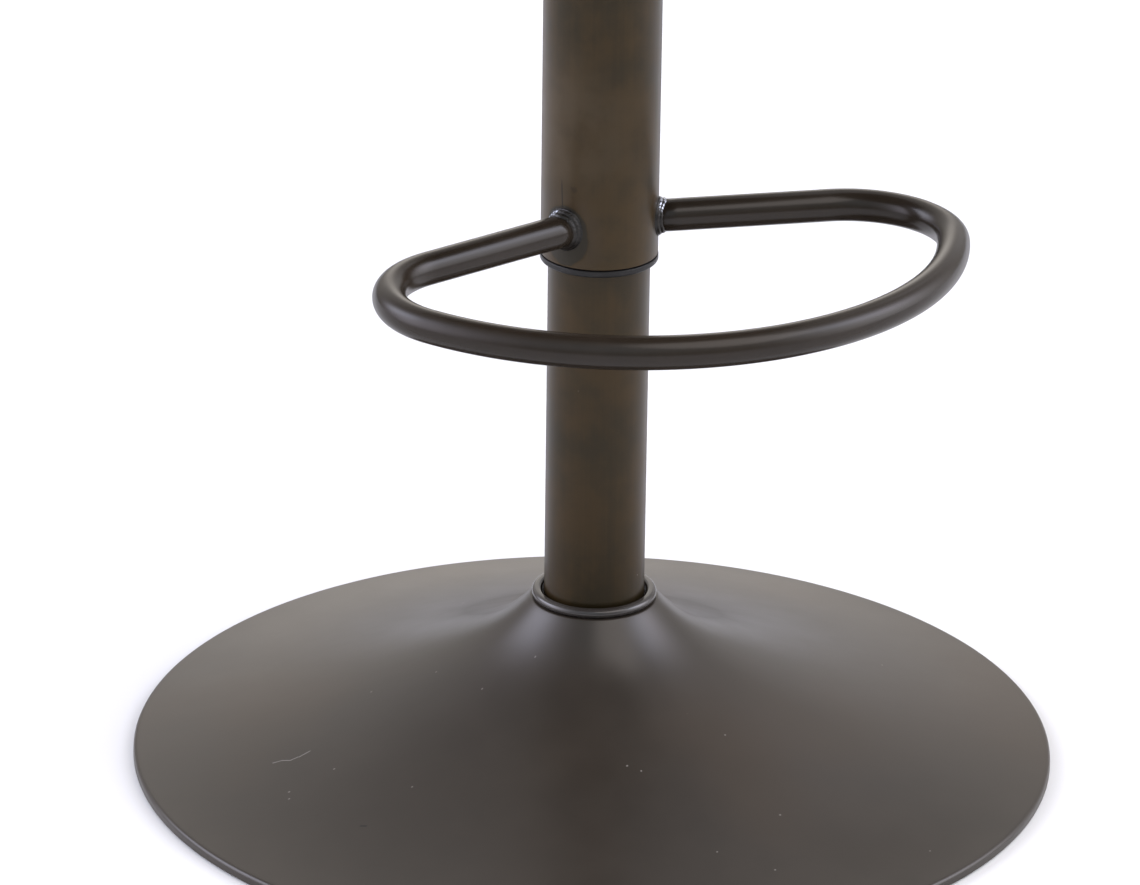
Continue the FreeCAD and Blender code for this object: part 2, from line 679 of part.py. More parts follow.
# weld beads where the arms meet the sleeve
welds = []
for side in (1, -1):
    direction = V(side * math.cos(beta), -math.sin(beta), 0)
    base = V(0, -sheet.get("arm_offset"), level.value)
    b = base.x * direction.x + base.y * direction.y
    t = -b + math.sqrt(b * b - (base.x ** 2 + base.y ** 2) + sheet.get("sleeve_radius") ** 2)
    spot = base + direction * t
    turn_to = FreeCAD.Rotation(V(0, 0, 1), direction)
    tag = "right" if side > 0 else "left"
    bead = doc.addObject("Part::Torus", "weld_ring_" + tag)
    bead.setExpression("Radius1", "dims.footrest_radius + 0.2")
    bead.setExpression("Radius2", "dims.weld_radius")
    bead.Placement = FreeCAD.Placement(spot, turn_to)
    post = doc.addObject("Part::Cylinder", "weld_post_" + tag)
    post.setExpression("Radius", "dims.sleeve_radius")
    post.Height = 60.0
    post.Placement = FreeCAD.Placement(V(0, 0, level.value - 30.0), FreeCAD.Rotation())
    arm = doc.addObject("Part::Cylinder", "weld_arm_" + tag)
    arm.setExpression("Radius", "dims.footrest_radius")
    arm.Height = 40.0
    arm.Placement = FreeCAD.Placement(spot - direction * 20.0, turn_to)
    cut1 = doc.addObject("Part::Cut", "weld_cut_" + tag)
    cut1.Base, cut1.Tool = bead, post
    cut2 = doc.addObject("Part::Cut", "weld_bead_" + tag)
    cut2.Base, cut2.Tool = cut1, arm
    welds.append(cut2)
group = doc.addObject("Part::Compound", "footrest_welds")
group.Links = welds
group.Label = "footrest_welds"
keep(group)

# ---------------------------------------------------------------- seat pan and lever
pan = new_body("seat_pan")
half = d("pan_flange") * 0.5
sk = new_sketch(pan, "pan_flange_outline", "XY_Plane", d("pan_high") - d("pan_wall"))
rectangle(sk, -half, -half, half, half)
flange = pad(pan, sk, "pan_flange", d("pan_wall"))
bx, by = d("pan_box_x") * 0.5, d("pan_box_y") * 0.5
sk = new_sketch(pan, "pan_box_outline", "XY_Plane", d("pan_low"))
rectangle(sk, -bx, -by, bx, by)
box = pad(pan, sk, "pan_box", d("pan_high") - d("pan_low") - d("pan_wall"))
sk = new_sketch(pan, "pan_well_outline", "XY_Plane", d("pan_low") + d("pan_wall"))
pw = d("pan_wall")
rectangle(sk, pw - bx, pw - by, bx - pw, by - pw)
well = pocket(pan, sk, "pan_well", d("pan_high") - d("pan_low"), reverse=True)
sk = new_sketch(pan, "pan_hole_outline", "XY_Plane", d("pan_low"))
circle(sk, 0, 0, 13.6)
pocket(pan, sk, "pan_hole", pw + 1.0, reverse=True)
sk = new_sketch(pan, "pan_bolt_outline", "XY_Plane", d("pan_high") - pw)
circle(sk, d("seat_bolt_at"), d("seat_bolt_at"), 3.4)
hole = pocket(pan, sk, "pan_bolt_hole", pw + 1.0, reverse=True)
holes = polar(pan, [hole], "pan_bolt_holes", 4)
# slot for the lever in the right wall, bore for its pin through front and back walls
sk = new_sketch(pan, "pan_slot_outline", "YZ_Plane", bx - pw - 1.0)
rectangle(sk, -5.0, d("pan_low") + 1.2, 5.0, d("pan_high") - pw)
slot = pocket(pan, sk, "pan_slot", pw + 2.0, reverse=True)
sk = new_sketch(pan, "pan_pin_outline", "XZ_Plane")
circle(sk, d("lever_at"), d("lever_level"), d("lever_pin"))
bores = pocket(pan, sk, "pan_pin_bores", 100.0, middle=True)
doc.recompute()


def upright(x, y, tol=0.05):
    def test(e):
        if e.Curve.TypeId != "Part::GeomLine":
            return False
        a, b = e.Vertexes[0].Point, e.Vertexes[-1].Point
        return (abs(a.x - b.x) < 1e-6 and abs(a.y - b.y) < 1e-6
                and abs(abs(a.x) - x) < tol and abs(abs(a.y) - y) < tol)
    return test


last = dress(pan, bores, "Fillet", find_edges(bores, upright(80.0, 80.0)), 14.0, "pan_corners")
last = dress(pan, last, "Fillet", find_edges(last, upright(47.5, 37.5)), 6.0, "pan_box_corners")
last = dress(pan, last, "Fillet", find_edges(last, upright(45.0, 35.0)), 3.5, "pan_well_corners")
keep(pan)

pin = new_body("lever_pin")
sk = new_sketch(pin, "pin_outline", "XZ_Plane")
circle(sk, d("lever_at"), d("lever_level"), d("lever_pin"))
pad(pin, sk, "pin_shank", d("pan_box_y") + 3.0, middle=True)
sk = new_sketch(pin, "pin_head_outline", "XZ_Plane", by)
circle(sk, d("lever_at"), d("lever_level"), d("lever_pin") + 1.8)
pad(pin, sk, "pin_head", 2.0)
keep(pin)

lever = new_body("lever_rod")
path = new_sketch(lever, "lever_path", "XZ_Plane")
gamma = math.radians(sheet.get("lever_slope"))
lz, bend = sheet.get("lever_level"), 22.0
cut_in = bend * math.tan(gamma / 2.0)
knee = 38.0
p0, p1 = V(-8.0, lz, 0), V(knee - cut_in, lz, 0)
p2 = V(knee + cut_in * math.cos(gamma), lz - cut_in * math.sin(gamma), 0)
p3 = V(sheet.get("lever_reach"), lz - (sheet.get("lever_reach") - knee) * math.tan(gamma), 0)
l1 = path.addGeometry(Part.LineSegment(p0, p1), False)
a1 = path.addGeometry(Part.ArcOfCircle(Part.Circle(V(p1.x, lz - bend, 0), V(0, 0, 1), bend), math.pi / 2 - gamma, math.pi / 2), False)
l2 = path.addGeometry(Part.LineSegment(p2, p3), False)
path.addConstraint(C("Tangent", l1, 2, a1, 2))
path.addConstraint(C("Tangent", a1, 1, l2, 1))
path.addConstraint(C("Horizontal", l1))
tie(path, "DistanceX", l1, 1, -8.0)
tie(path, "DistanceY", l1, 1, d("lever_level"))
tie(path, "DistanceX", l1, 2, p1.x)
path.addConstraint(C("Radius", a1, bend))
tie(path, "DistanceX", l2, 2, d("lever_reach"))
tie(path, "DistanceY", l2, 2, p3.y)
sect = new_sketch(lever, "lever_section", "YZ_Plane", -8.0)
circle(sect, 0, d("lever_level"), d("lever_rod"))
doc.recompute()
pipe = lever.newObject("PartDesign::AdditivePipe", "lever_bar")
pipe.Profile = sect
pipe.Spine = (path, ["Edge1", "Edge2", "Edge3"])
lever.Tip = pipe
sk = new_sketch(lever, "lever_boss_outline", "XZ_Plane")
circle(sk, d("lever_at"), d("lever_level"), 6.0)
pad(lever, sk, "lever_boss", 14.0, middle=True)
sk = new_sketch(lever, "lever_bore_outline", "XZ_Plane")
circle(sk, d("lever_at"), d("lever_level"), d("lever_pin") + d("fit_gap"))
pocket(lever, sk, "lever_bore", 30.0, middle=True)
keep(lever)

grip = new_body("lever_grip")
sk = new_sketch(grip, "grip_profile", "XZ_Plane")
polygon(sk, [
    (0, 46.0), (d("lever_rod"), 46.0), (d("lever_rod"), 0), (5.8, 0), (6.4, 3.0),
    ("curve", [(6.9, 14.0), (7.6, 32.0)]),
    (7.4, 50.0), ("curve", [(6.4, 55.5), (3.8, 58.6)]), (0, 60.0),
])
revolve(grip, sk, "grip_moulded")
start = V(p3.x - 46.0 * math.cos(gamma), 0, p3.y + 46.0 * math.sin(gamma))
grip.Placement = FreeCAD.Placement(start, FreeCAD.Rotation(V(0, 1, 0), 90.0 + sheet.get("lever_slope")))
keep(grip)

# ---------------------------------------------------------------- seat
board = new_body("seat_board")
bz = d("pan_high")
sk = new_sketch(board, "board_outline", "XY_Plane", bz)
circle(sk, 0, 0, d("board_radius"))
pad(board, sk, "board_disc", d("board_wall"))
sk = new_sketch(board, "board_hole_outline", "XY_Plane", bz)
circle(sk, d("seat_bolt_at"), d("seat_bolt_at"), 5.0)
hole = pocket(board, sk, "board_hole", None, reverse=True)
sk = new_sketch(board, "board_sink_outline", "XY_Plane", bz + d("board_wall") - 1.5)
circle(sk, d("seat_bolt_at"), d("seat_bolt_at"), 10.0)
sink = pocket(board, sk, "board_sink", 3.0, reverse=True)
polar(board, [hole, sink], "board_holes", 4)
keep(board)

tnuts = new_body("seat_t_nuts")
sk = new_sketch(tnuts, "t_flange_outline", "XY_Plane", bz + d("board_wall") - 1.5)
circle(sk, d("seat_bolt_at"), d("seat_bolt_at"), 10.0)
circle(sk, d("seat_bolt_at"), d("seat_bolt_at"), 3.0)
tf = pad(tnuts, sk, "t_flange", 1.5)
sk = new_sketch(tnuts, "t_barrel_outline", "XY_Plane", bz + d("board_wall") - 10.0)
circle(sk, d("seat_bolt_at"), d("seat_bolt_at"), 5.0)
circle(sk, d("seat_bolt_at"), d("seat_bolt_at"), 3.0)
tb = pad(tnuts, sk, "t_barrel", 9.0)
polar(tnuts, [tf, tb], "t_nut_set", 4)
keep(tnuts)

washers = new_body("seat_washers")
sk = new_sketch(washers, "washer_outline", "XY_Plane", bz - pw - 1.5)
circle(sk, d("seat_bolt_at"), d("seat_bolt_at"), 7.5)
circle(sk, d("seat_bolt_at"), d("seat_bolt_at"), 3.2)
ws = pad(washers, sk, "washer_disc", 1.5)
polar(washers, [ws], "washer_set", 4)
keep(washers)

screws = new_body("seat_bolts")
sk = new_sketch(screws, "bolt_shank_outline", "XY_Plane", bz - pw - 1.5)
circle(sk, d("seat_bolt_at"), d("seat_bolt_at"), 3.0)
ss = pad(screws, sk, "seat_bolt_shank", 15.5)
sk = new_sketch(screws, "bolt_head_outline", "XY_Plane", bz - pw - 1.5 - 4.5)
hexagon(sk, d("seat_bolt_at"), d("seat_bolt_at"), 10.0)
sh = pad(screws, sk, "seat_bolt_head", 4.5)
polar(screws, [ss, sh], "seat_bolt_set", 4)
keep(screws)

cover = new_body("dust_cover")
sk = new_sketch(cover, "dust_outline", "XY_Plane", bz - 0.8)
circle(sk, 0, 0, 189.0)
e = half + 1.5
rectangle(sk, -e, -e, e, e)
pad(cover, sk, "dust_sheet", 0.8)
keep(cover)

edge, crown, cr2 = d("cushion_edge"), d("cushion_top"), d("cushion_radius")
span = crown.value - edge.value
crown_run = [(cr2.value * k, edge.value + span * (1.0 - k ** 2.6)) for k in (0.94, 0.84, 0.70, 0.52, 0.34, 0.16)]
keep(turned("seat_cushion", [
    (0, bz + d("board_wall")), (d("board_radius"), bz + d("board_wall")), (d("board_radius"), bz),
    (cr2 - 3.0, bz), (cr2, bz + 4.0), (cr2, edge), ("curve", crown_run), (0, crown),
]))

# ---------------------------------------------------------------- write
doc.recompute()
bad = [o.Name for o in doc.Objects if "Invalid" in o.State or "Error" in o.State]
if bad:
    raise RuntimeError("failed objects: %s" % bad)
labels = [o.Label for o in PARTS]
if len(set(labels)) != len(labels):
    raise RuntimeError("labels repeat")
for o in PARTS:
    s = o.Shape
    if s.isNull() or not s.isValid() or not s.Solids:
        raise RuntimeError("bad shape: %s" % o.Label)
os.makedirs("parts", exist_ok=True)
for o in PARTS:
    s = o.Shape
    b = s.BoundBox
    print("%-20s solids %2d  volume %10.1f  x %7.2f %7.2f  y %7.2f %7.2f  z %7.2f %7.2f" % (
        o.Label, len(s.Solids), s.Volume, b.XMin, b.XMax, b.YMin, b.YMax, b.ZMin, b.ZMax))
    s.exportStep("parts/%s.step" % o.Label)
print("nodes", len(PARTS))
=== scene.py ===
import math

import bmesh
import bpy
import numpy as np
from mathutils import Matrix, Vector, noise


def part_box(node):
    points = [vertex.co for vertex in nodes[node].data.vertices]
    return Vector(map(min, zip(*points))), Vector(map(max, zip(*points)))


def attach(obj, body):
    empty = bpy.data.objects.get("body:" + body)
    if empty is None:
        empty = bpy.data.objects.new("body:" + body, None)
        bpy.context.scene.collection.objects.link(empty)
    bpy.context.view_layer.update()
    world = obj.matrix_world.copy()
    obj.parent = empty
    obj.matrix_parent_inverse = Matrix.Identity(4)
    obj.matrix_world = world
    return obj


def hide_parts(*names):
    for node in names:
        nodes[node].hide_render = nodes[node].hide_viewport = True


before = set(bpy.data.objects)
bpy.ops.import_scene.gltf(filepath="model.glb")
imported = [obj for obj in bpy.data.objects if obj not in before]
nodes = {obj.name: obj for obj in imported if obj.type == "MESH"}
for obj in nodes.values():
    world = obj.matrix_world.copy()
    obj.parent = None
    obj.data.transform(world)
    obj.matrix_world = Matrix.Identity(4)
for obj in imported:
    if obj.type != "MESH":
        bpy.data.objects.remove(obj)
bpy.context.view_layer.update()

# Bar stool. Lengths in the code are millimetres where a name says so or where
# they go through MM; every object is made in metres in the frame of the CAD.
MM = 0.001
scene = bpy.context.scene

# ---------------------------------------------------------------- camera
WIDE, HIGH = 1140.0, 885.0
eye = Vector((-1.2198, -2.4530, 1.2904))
ahead = Vector((0.40797, 0.83030, -0.37971)).normalized()
right = Vector((0.89966, -0.43644, 0.01226))
right = (right - ahead * right.dot(ahead)).normalized()
up = right.cross(ahead)
cam_data = bpy.data.cameras.new("camera")
cam_data.sensor_fit = "HORIZONTAL"
cam_data.sensor_width = 36.0
cam_data.lens = 188.94
cam_data.clip_start, cam_data.clip_end = 0.05, 200.0
camera = bpy.data.objects.new("camera", cam_data)
scene.collection.objects.link(camera)
camera.matrix_world = Matrix(((right.x, up.x, -ahead.x, eye.x), (right.y, up.y, -ahead.y, eye.y),
                              (right.z, up.z, -ahead.z, eye.z), (0, 0, 0, 1)))
scene.camera = camera


# ---------------------------------------------------------------- node helper
class Look:
    """A material: a Principled shader with nodes put in by short calls."""

    def __init__(self, name, **sockets):
        self.mat = bpy.data.materials.new(name)
        self.mat.use_nodes = True
        self.tree = self.mat.node_tree
        self.tree.nodes.clear()
        out = self.tree.nodes.new("ShaderNodeOutputMaterial")
        self.shader = self.tree.nodes.new("ShaderNodeBsdfPrincipled")
        self.tree.links.new(self.shader.outputs[0], out.inputs[0])
        self.place = self.node("ShaderNodeTexCoord", out="Object")
        for key, value in sockets.items():
            self.set(key.replace("_", " "), value)

    def put(self, socket, value):
        if isinstance(value, bpy.types.NodeSocket):
            self.tree.links.new(value, socket)
        elif hasattr(value, "__len__") and len(value) == 3 and socket.type == "RGBA":
            socket.default_value = (*value, 1.0)
        else:
            socket.default_value = value

    def set(self, name, value):
        self.put(self.shader.inputs[name], value)

    def node(self, kind, out=0, props=None, **ins):
        n = self.tree.nodes.new(kind)
        for key, value in (props or {}).items():
            setattr(n, key, value)
        for key, value in ins.items():
            at = int(key[1:]) if key[0] == "i" and key[1:].isdigit() else key.replace("_", " ")
            self.put(n.inputs[at], value)
        return n.outputs[out]

    def scaled(self, x, y, z, shift=(0.0, 0.0, 0.0), turn=(0.0, 0.0, 0.0)):
        return self.node("ShaderNodeMapping", Vector=self.place, Scale=(x, y, z), Location=shift, Rotation=turn)

    def noise(self, scale, detail=2.0, rough=0.5, warp=0.0, at=None):
        return self.node("ShaderNodeTexNoise", out="Fac", Vector=at or self.place, Scale=scale,
                         Detail=detail, Roughness=rough, Distortion=warp)

    def cells(self, scale, out="Distance", feature="F1", at=None, jitter=1.0):
        return self.node("ShaderNodeTexVoronoi", out=out, props={"feature": feature},
                         Vector=at or self.place, Scale=scale, Randomness=jitter)

    def math(self, op, a, b=0.0, c=0.0, clamp=False):
        return self.node("ShaderNodeMath", props={"operation": op, "use_clamp": clamp}, i0=a, i1=b, i2=c)

    def span(self, value, a, b, c=0.0, d=1.0, smooth=False):
        return self.node("ShaderNodeMapRange", props={"interpolation_type": "SMOOTHSTEP" if smooth else "LINEAR"},
                         Value=value, From_Min=a, From_Max=b, To_Min=c, To_Max=d)

    def mix(self, share, a, b, blend="MIX"):
        n = self.tree.nodes.new("ShaderNodeMix")
        n.data_type, n.blend_type = "RGBA", blend
        self.put(n.inputs[0], share)
        self.put(n.inputs[6], a)
        self.put(n.inputs[7], b)
        return n.outputs[2]

    def ramp(self, value, *stops):
        n = self.tree.nodes.new("ShaderNodeValToRGB")
        ramp = n.color_ramp
        while len(ramp.elements) < len(stops):
            ramp.elements.new(0.5)
        for element, (at, colour) in zip(ramp.elements, stops):
            element.position = at
            element.color = (*colour, 1.0)
        self.put(n.inputs[0], value)
        return n.outputs[0]

    def bump(self, height, depth, strength=1.0, under=None):
        n = self.tree.nodes.new("ShaderNodeBump")
        self.put(n.inputs["Strength"], strength)
        self.put(n.inputs["Distance"], depth)
        self.put(n.inputs["Height"], height)
        if under is not None:
            self.put(n.inputs["Normal"], under)
        return n.outputs[0]

    def apart(self, point):
        """Distance in metres from a point of the object's own space."""
        return self.node("ShaderNodeVectorMath", out="Value", props={"operation": "DISTANCE"},
                         i0=self.place, i1=point)

    def axis(self, which):
        return self.node("ShaderNodeSeparateXYZ", out=which, Vector=self.place)


def near_line(look, a, b, width):
    """1 on the line from a to b (metres, in plan), falling to 0 at width."""
    ax, ay = a
    bx, by = b
    long2 = (bx - ax) ** 2 + (by - ay) ** 2
    x, y = look.axis("X"), look.axis("Y")
    dx, dy = look.math("SUBTRACT", x, ax), look.math("SUBTRACT", y, ay)
    t = look.math("ADD", look.math("MULTIPLY", dx, (bx - ax) / long2),
                  look.math("MULTIPLY", dy, (by - ay) / long2), clamp=True)
    ex = look.math("SUBTRACT", dx, look.math("MULTIPLY", t, bx - ax))
    ey = look.math("SUBTRACT", dy, look.math("MULTIPLY", t, by - ay))
    away = look.math("SQRT", look.math("ADD", look.math("MULTIPLY", ex, ex), look.math("MULTIPLY", ey, ey)))
    return look.span(away, 0.3 * width, width, 1.0, 0.0)


# ---------------------------------------------------------------- bronze paint
def bronze(name, dark, light, rough=(0.31, 0.39), streak=0.0, peel=0.6, clouds=14.0, specks=True, spec=0.33, flat=1.0,
           soft=0.22):
    """Dark bronze satin lacquer: soft brown clouds, faint orange peel, fine dust specks; dull at grazing angles."""
    m = Look(name, IOR=1.5)
    big = m.noise(clouds, 2.0, 0.5, 0.0, m.scaled(1.0, 1.0, flat) if flat != 1.0 else None)
    mid = m.noise(clouds * 4.5, 3.0, 0.55)
    fine = m.noise(1400.0, 2.0, 0.5)
    tone = m.math("ADD", m.math("MULTIPLY", big, 0.62), m.math("MULTIPLY", mid, 0.38))
    if streak:
        lines = m.noise(1.0, 3.0, 0.6, 0.0, m.scaled(420.0, 420.0, 9.0))
        tone = m.math("ADD", m.math("MULTIPLY", tone, 1.0 - streak), m.math("MULTIPLY", lines, streak))
    tone = m.math("ADD", tone, m.math("MULTIPLY", m.math("SUBTRACT", fine, 0.5), 0.05))
    colour = m.mix(m.span(tone, 0.5 - soft, 0.5 + soft, smooth=True), dark, light)
    gloss = m.math("ADD", m.span(mid, 0.2, 0.8, rough[0], rough[1]), m.math("MULTIPLY", m.math("SUBTRACT", big, 0.5), 0.05))
    if specks:
        dot = m.cells(62.0)
        pick = m.node("ShaderNodeSeparateColor", out="Red", Color=m.cells(62.0, out="Color"))
        speck = m.math("MULTIPLY", m.span(dot, 0.012, 0.026, 1.0, 0.0), m.span(pick, 0.80, 0.84))
        colour = m.mix(m.math("MULTIPLY", speck, 0.75), colour, (0.26, 0.24, 0.22))
    m.colour, m.gloss = colour, gloss
    waves = m.bump(m.noise(26.0, 2.0, 0.4), 0.0006, 0.2)
    m.normal = m.bump(m.noise(420.0, 2.0, 0.5), 0.000012 * peel, 1.0, waves)
    m.set("Base Color", colour)
    m.set("Roughness", gloss)
    m.set("Normal", m.normal)
    turned = m.node("ShaderNodeLayerWeight", out="Facing", Blend=0.5)
    m.set("Specular IOR Level", m.span(turned, 0.74, 0.90, spec, 0.10 * spec))
    return m


DARK, LIGHT = (0.0140, 0.0098, 0.0036), (0.0335, 0.0192, 0.0056)

base_look = bronze("bronze_base_paint", (0.0247, 0.0198, 0.0149), (0.0317, 0.0254, 0.0191), rough=(0.292, 0.330), clouds=9.0, spec=0.415)
scratch = None
for a, b in (((-167.89, 16.60), (-163.64, 15.20)), ((-163.64, 15.20), (-160.74, 11.92)), ((-160.74, 11.92), (-156.52, 11.70)),
             ((-156.16, 11.28), (-149.94, 11.91))):
    mark = near_line(base_look, (a[0] * MM, a[1] * MM), (b[0] * MM, b[1] * MM), 0.00042)
    scratch = mark if scratch is None else base_look.math("MAXIMUM", scratch, mark)
fleck = near_line(base_look, (-0.15688, -0.06567), (-0.15493, -0.06724), 0.0009)
dust = None
for x, y, wide in ((-148.0, -13.1, 0.62), (-172.9, -14.8, 0.7), (-175.4, -20.6, 0.6), (-8.9, 135.6, 0.7), (-43.5, -23.0, 0.5), (-70.1, -18.0, 0.55),
                   (-105.7, 36.7, 0.6), (-78.6, 17.9, 0.5), (-124.9, -54.9, 0.55), (-30.2, -99.6, 0.6), (-25.1, -104.8, 0.5), (26.6, -93.4, 0.55),
                   (28.8, -148.4, 0.6), (7.1, -185.0, 0.6), (89.5, -189.8, 0.55), (-13.8, -164.7, 0.5), (161.9, -8.2, 0.6)):
    dot = near_line(base_look, (x * MM, y * MM), ((x + 0.25) * MM, (y + 0.1) * MM), wide * MM)
    dust = dot if dust is None else base_look.math("MAXIMUM", dust, dot)
brown = base_look.math("MULTIPLY", base_look.span(base_look.noise(6.5, 2.0, 0.4), 0.48, 0.74, smooth=True), 0.55)
paint = base_look.mix(brown, base_look.colour, (0.0400, 0.0270, 0.0160))
paint = base_look.mix(base_look.math("MULTIPLY", scratch, 0.8), paint, (0.21, 0.195, 0.18))
paint = base_look.mix(base_look.math("MULTIPLY", dust, 0.7), paint, (0.24, 0.22, 0.20))
paint = base_look.mix(fleck, paint, (0.002, 0.002, 0.002))
base_look.set("Base Color", paint)

column_look = bronze("bronze_column_paint", (0.0138, 0.0095, 0.0036), (0.0308, 0.0176, 0.0054), streak=0.14, clouds=16.0, soft=0.12)
column_look.shader.inputs["Specular Tint"].default_value = (1.0, 0.90, 0.74, 1.0)
ring_look = bronze("bronze_ring_paint", (0.0262, 0.0228, 0.0204), (0.0350, 0.0306, 0.0276), rough=(0.13, 0.18), specks=False, spec=0.58)
rest_look = bronze("bronze_footrest_paint", (0.0160, 0.0116, 0.0078), (0.0206, 0.0150, 0.0102), rough=(0.226, 0.254), clouds=22.0, spec=0.29)

WELD_LEFT = Vector((-27.4, -14.3, 286.6)) * MM
WELD_RIGHT = Vector((27.4, -14.3, 286.6)) * MM
sleeve_look = bronze("bronze_sleeve_paint", DARK, LIGHT, streak=0.14, clouds=18.0, soft=0.12)
sleeve_look.shader.inputs["Specular Tint"].default_value = (1.0, 0.90, 0.74, 1.0)
m = sleeve_look
paint, gloss = m.colour, m.gloss
# painted reflection: a lighter, browner patch above the left weld stands for light from the left reflecting there
painted_reflection = m.math("MULTIPLY", m.span(m.apart(Vector((-25.5, -13.0, 338.0)) * MM), 0.012, 0.052, 1.0, 0.0, smooth=True),
              m.span(m.noise(55.0, 3.0, 0.6), 0.30, 0.66, 0.45, 1.0, smooth=True))
paint = m.mix(m.math("MULTIPLY", painted_reflection, 0.75), paint, (0.0530, 0.0375, 0.0215))
# round the left weld the heat left a dark zone with a crisp edge, which reaches further down than up
below = m.math("SUBTRACT", 0.2846, m.axis("Z"))
reach = m.math("MULTIPLY", m.math("MAXIMUM", below, 0.0), 0.36)
away = m.math("SUBTRACT", m.math("ADD", m.apart(WELD_LEFT), m.math("MULTIPLY", m.math("SUBTRACT", m.noise(140.0, 3.0), 0.5), 0.0022)), reach)
zone = m.span(away, 0.0120, 0.0129, 1.0, 0.0, smooth=True)
rust = m.math("MULTIPLY", m.span(away, 0.0126, 0.0134, smooth=True), m.span(away, 0.0138, 0.0230, 1.0, 0.0, smooth=True))
paint = m.mix(m.math("MULTIPLY", zone, 0.92), paint, (0.0105, 0.0098, 0.0078))
paint = m.mix(m.math("MULTIPLY", rust, 0.40), paint, (0.047, 0.031, 0.019))
gloss = m.math("ADD", gloss, m.math("MULTIPLY", zone, 0.04))
away = m.math("ADD", m.apart(WELD_RIGHT), m.math("MULTIPLY", m.math("SUBTRACT", m.noise(120.0, 3.0), 0.5), 0.005))
paint = m.mix(m.math("MULTIPLY", m.span(away, 0.0105, 0.0150, 1.0, 0.0, smooth=True), 0.55), paint, (0.0165, 0.0150, 0.0135))
# a dark seam line above the left weld, which leans a little
lean = m.math("ADD", m.math("MULTIPLY", m.math("SUBTRACT", m.axis("Z"), 0.298), math.radians(-90.0)), math.radians(-155.4))
line = m.math("MULTIPLY", m.span(m.apart(Vector((-26.3, -11.6, 303.5)) * MM), 0.0050, 0.0095, 1.0, 0.0, smooth=True),
              m.span(m.math("ABSOLUTE", m.math("SUBTRACT", m.math("ARCTAN2", m.axis("Y"), m.axis("X")), lean)), 0.008, 0.017, 1.0, 0.0))
paint = m.mix(m.math("MULTIPLY", line, 0.9), paint, (0.004, 0.0035, 0.003))
blot = m.span(m.math("ADD", m.apart(Vector((-22.77, -17.53, 308.1)) * MM), m.math("MULTIPLY", m.noise(500.0, 3.0), 0.003)), 0.0022, 0.0040, 1.0, 0.0, smooth=True)
paint = m.mix(m.math("MULTIPLY", blot, 0.45), paint, (0.010, 0.008, 0.007))
m.set("Base Color", paint)
m.set("Roughness", gloss)


def weld_metal():
    """Weld bead coated with the stool's paint, worn to blue-grey metal on the ridges in two places; the coat carries
    painted shade, darkest along the toes and in the grooves between ripples.
    """
    m = Look("weld_bead_metal", IOR=1.5, Specular_IOR_Level=0.3)
    left = m.span(m.apart(Vector((-29.6, -6.0, 295.0)) * MM), 0.0042, 0.0072, 1.0, 0.0, smooth=True)
    right = m.span(m.apart(Vector((26.6, -17.0, 292.8)) * MM), 0.0036, 0.0056, 1.0, 0.0, smooth=True)
    ridge = m.node("ShaderNodeAttribute", out="Fac", props={"attribute_name": "ridge"})
    worn = m.math("MULTIPLY", m.math("MAXIMUM", left, right), m.span(m.math("ADD", ridge, m.math("MULTIPLY", m.noise(900.0, 2.0), 0.5)), 0.52, 0.80))
    bare = worn
    # painted shade: the coat is darkest along the toes and in the grooves between ripples, lighter on the ridges
    coat_and_painted_shade = m.mix(m.span(ridge, 0.05, 0.35), (0.0040, 0.0036, 0.0032), (0.0150, 0.0128, 0.0105))
    m.set("Base Color", m.mix(bare, coat_and_painted_shade, (0.46, 0.49, 0.56)))
    m.set("Metallic", m.math("MULTIPLY", bare, 0.85))
    m.set("Roughness", m.span(m.noise(700.0, 3.0), 0.3, 0.7, 0.29, 0.40))
    m.set("Normal", m.bump(m.noise(1500.0, 3.0), 0.00003, 1.0))
    return m.mat


weld_look = weld_metal()


# ---------------------------------------------------------------- other finishes
def worn_metal(name, low, high, rough, grain=(220.0, 220.0, 220.0), metal=1.0, stain=None, depth=0.00003, streaks=0.35):
    """Bare or plated metal: grain along an axis, blotches, optional stain in noisy patches."""
    m = Look(name)
    lines = m.noise(1.0, 4.0, 0.65, 0.0, m.scaled(*grain))
    cloud = m.noise(48.0, 4.0, 0.6, 0.5)
    mix = m.math("ADD", m.math("MULTIPLY", lines, streaks), m.math("MULTIPLY", cloud, 1.0 - streaks))
    colour = m.mix(m.span(mix, 0.35, 0.65), low, high)
    if stain:
        colour = m.mix(m.span(m.noise(33.0, 5.0, 0.7, 1.0), 0.58, 0.72, 0.0, 0.7), colour, stain)
    m.set("Base Color", colour)
    m.set("Metallic", metal)
    m.set("Roughness", m.span(m.noise(95.0, 4.0, 0.6), 0.3, 0.7, rough[0], rough[1]))
    m.set("Normal", m.bump(lines, depth, 1.0))
    return m.mat


raw_plate = worn_metal("hot_rolled_plate", (0.10, 0.105, 0.115), (0.22, 0.22, 0.225), (0.38, 0.58), (12.0, 160.0, 160.0),
                       stain=(0.16, 0.085, 0.045), depth=0.00006)
hub_steel = worn_metal("turned_steel", (0.30, 0.29, 0.28), (0.48, 0.47, 0.46), (0.28, 0.42), (60.0, 60.0, 900.0))
zinc = worn_metal("zinc_plate", (0.52, 0.54, 0.55), (0.72, 0.73, 0.70), (0.22, 0.38), (300.0, 300.0, 300.0),
                  stain=(0.62, 0.58, 0.42), depth=0.00002)
bearing_steel = worn_metal("ground_steel", (0.55, 0.55, 0.56), (0.70, 0.70, 0.71), (0.12, 0.22), (90.0, 90.0, 1500.0), depth=0.00001)
brass = worn_metal("brass_sheet", (0.55, 0.36, 0.13), (0.72, 0.52, 0.22), (0.25, 0.42), (200.0, 200.0, 200.0), stain=(0.30, 0.19, 0.08))
chrome = worn_metal("hard_chrome", (0.60, 0.61, 0.62), (0.68, 0.69, 0.70), (0.06, 0.12), (80.0, 80.0, 1800.0), depth=0.000006)


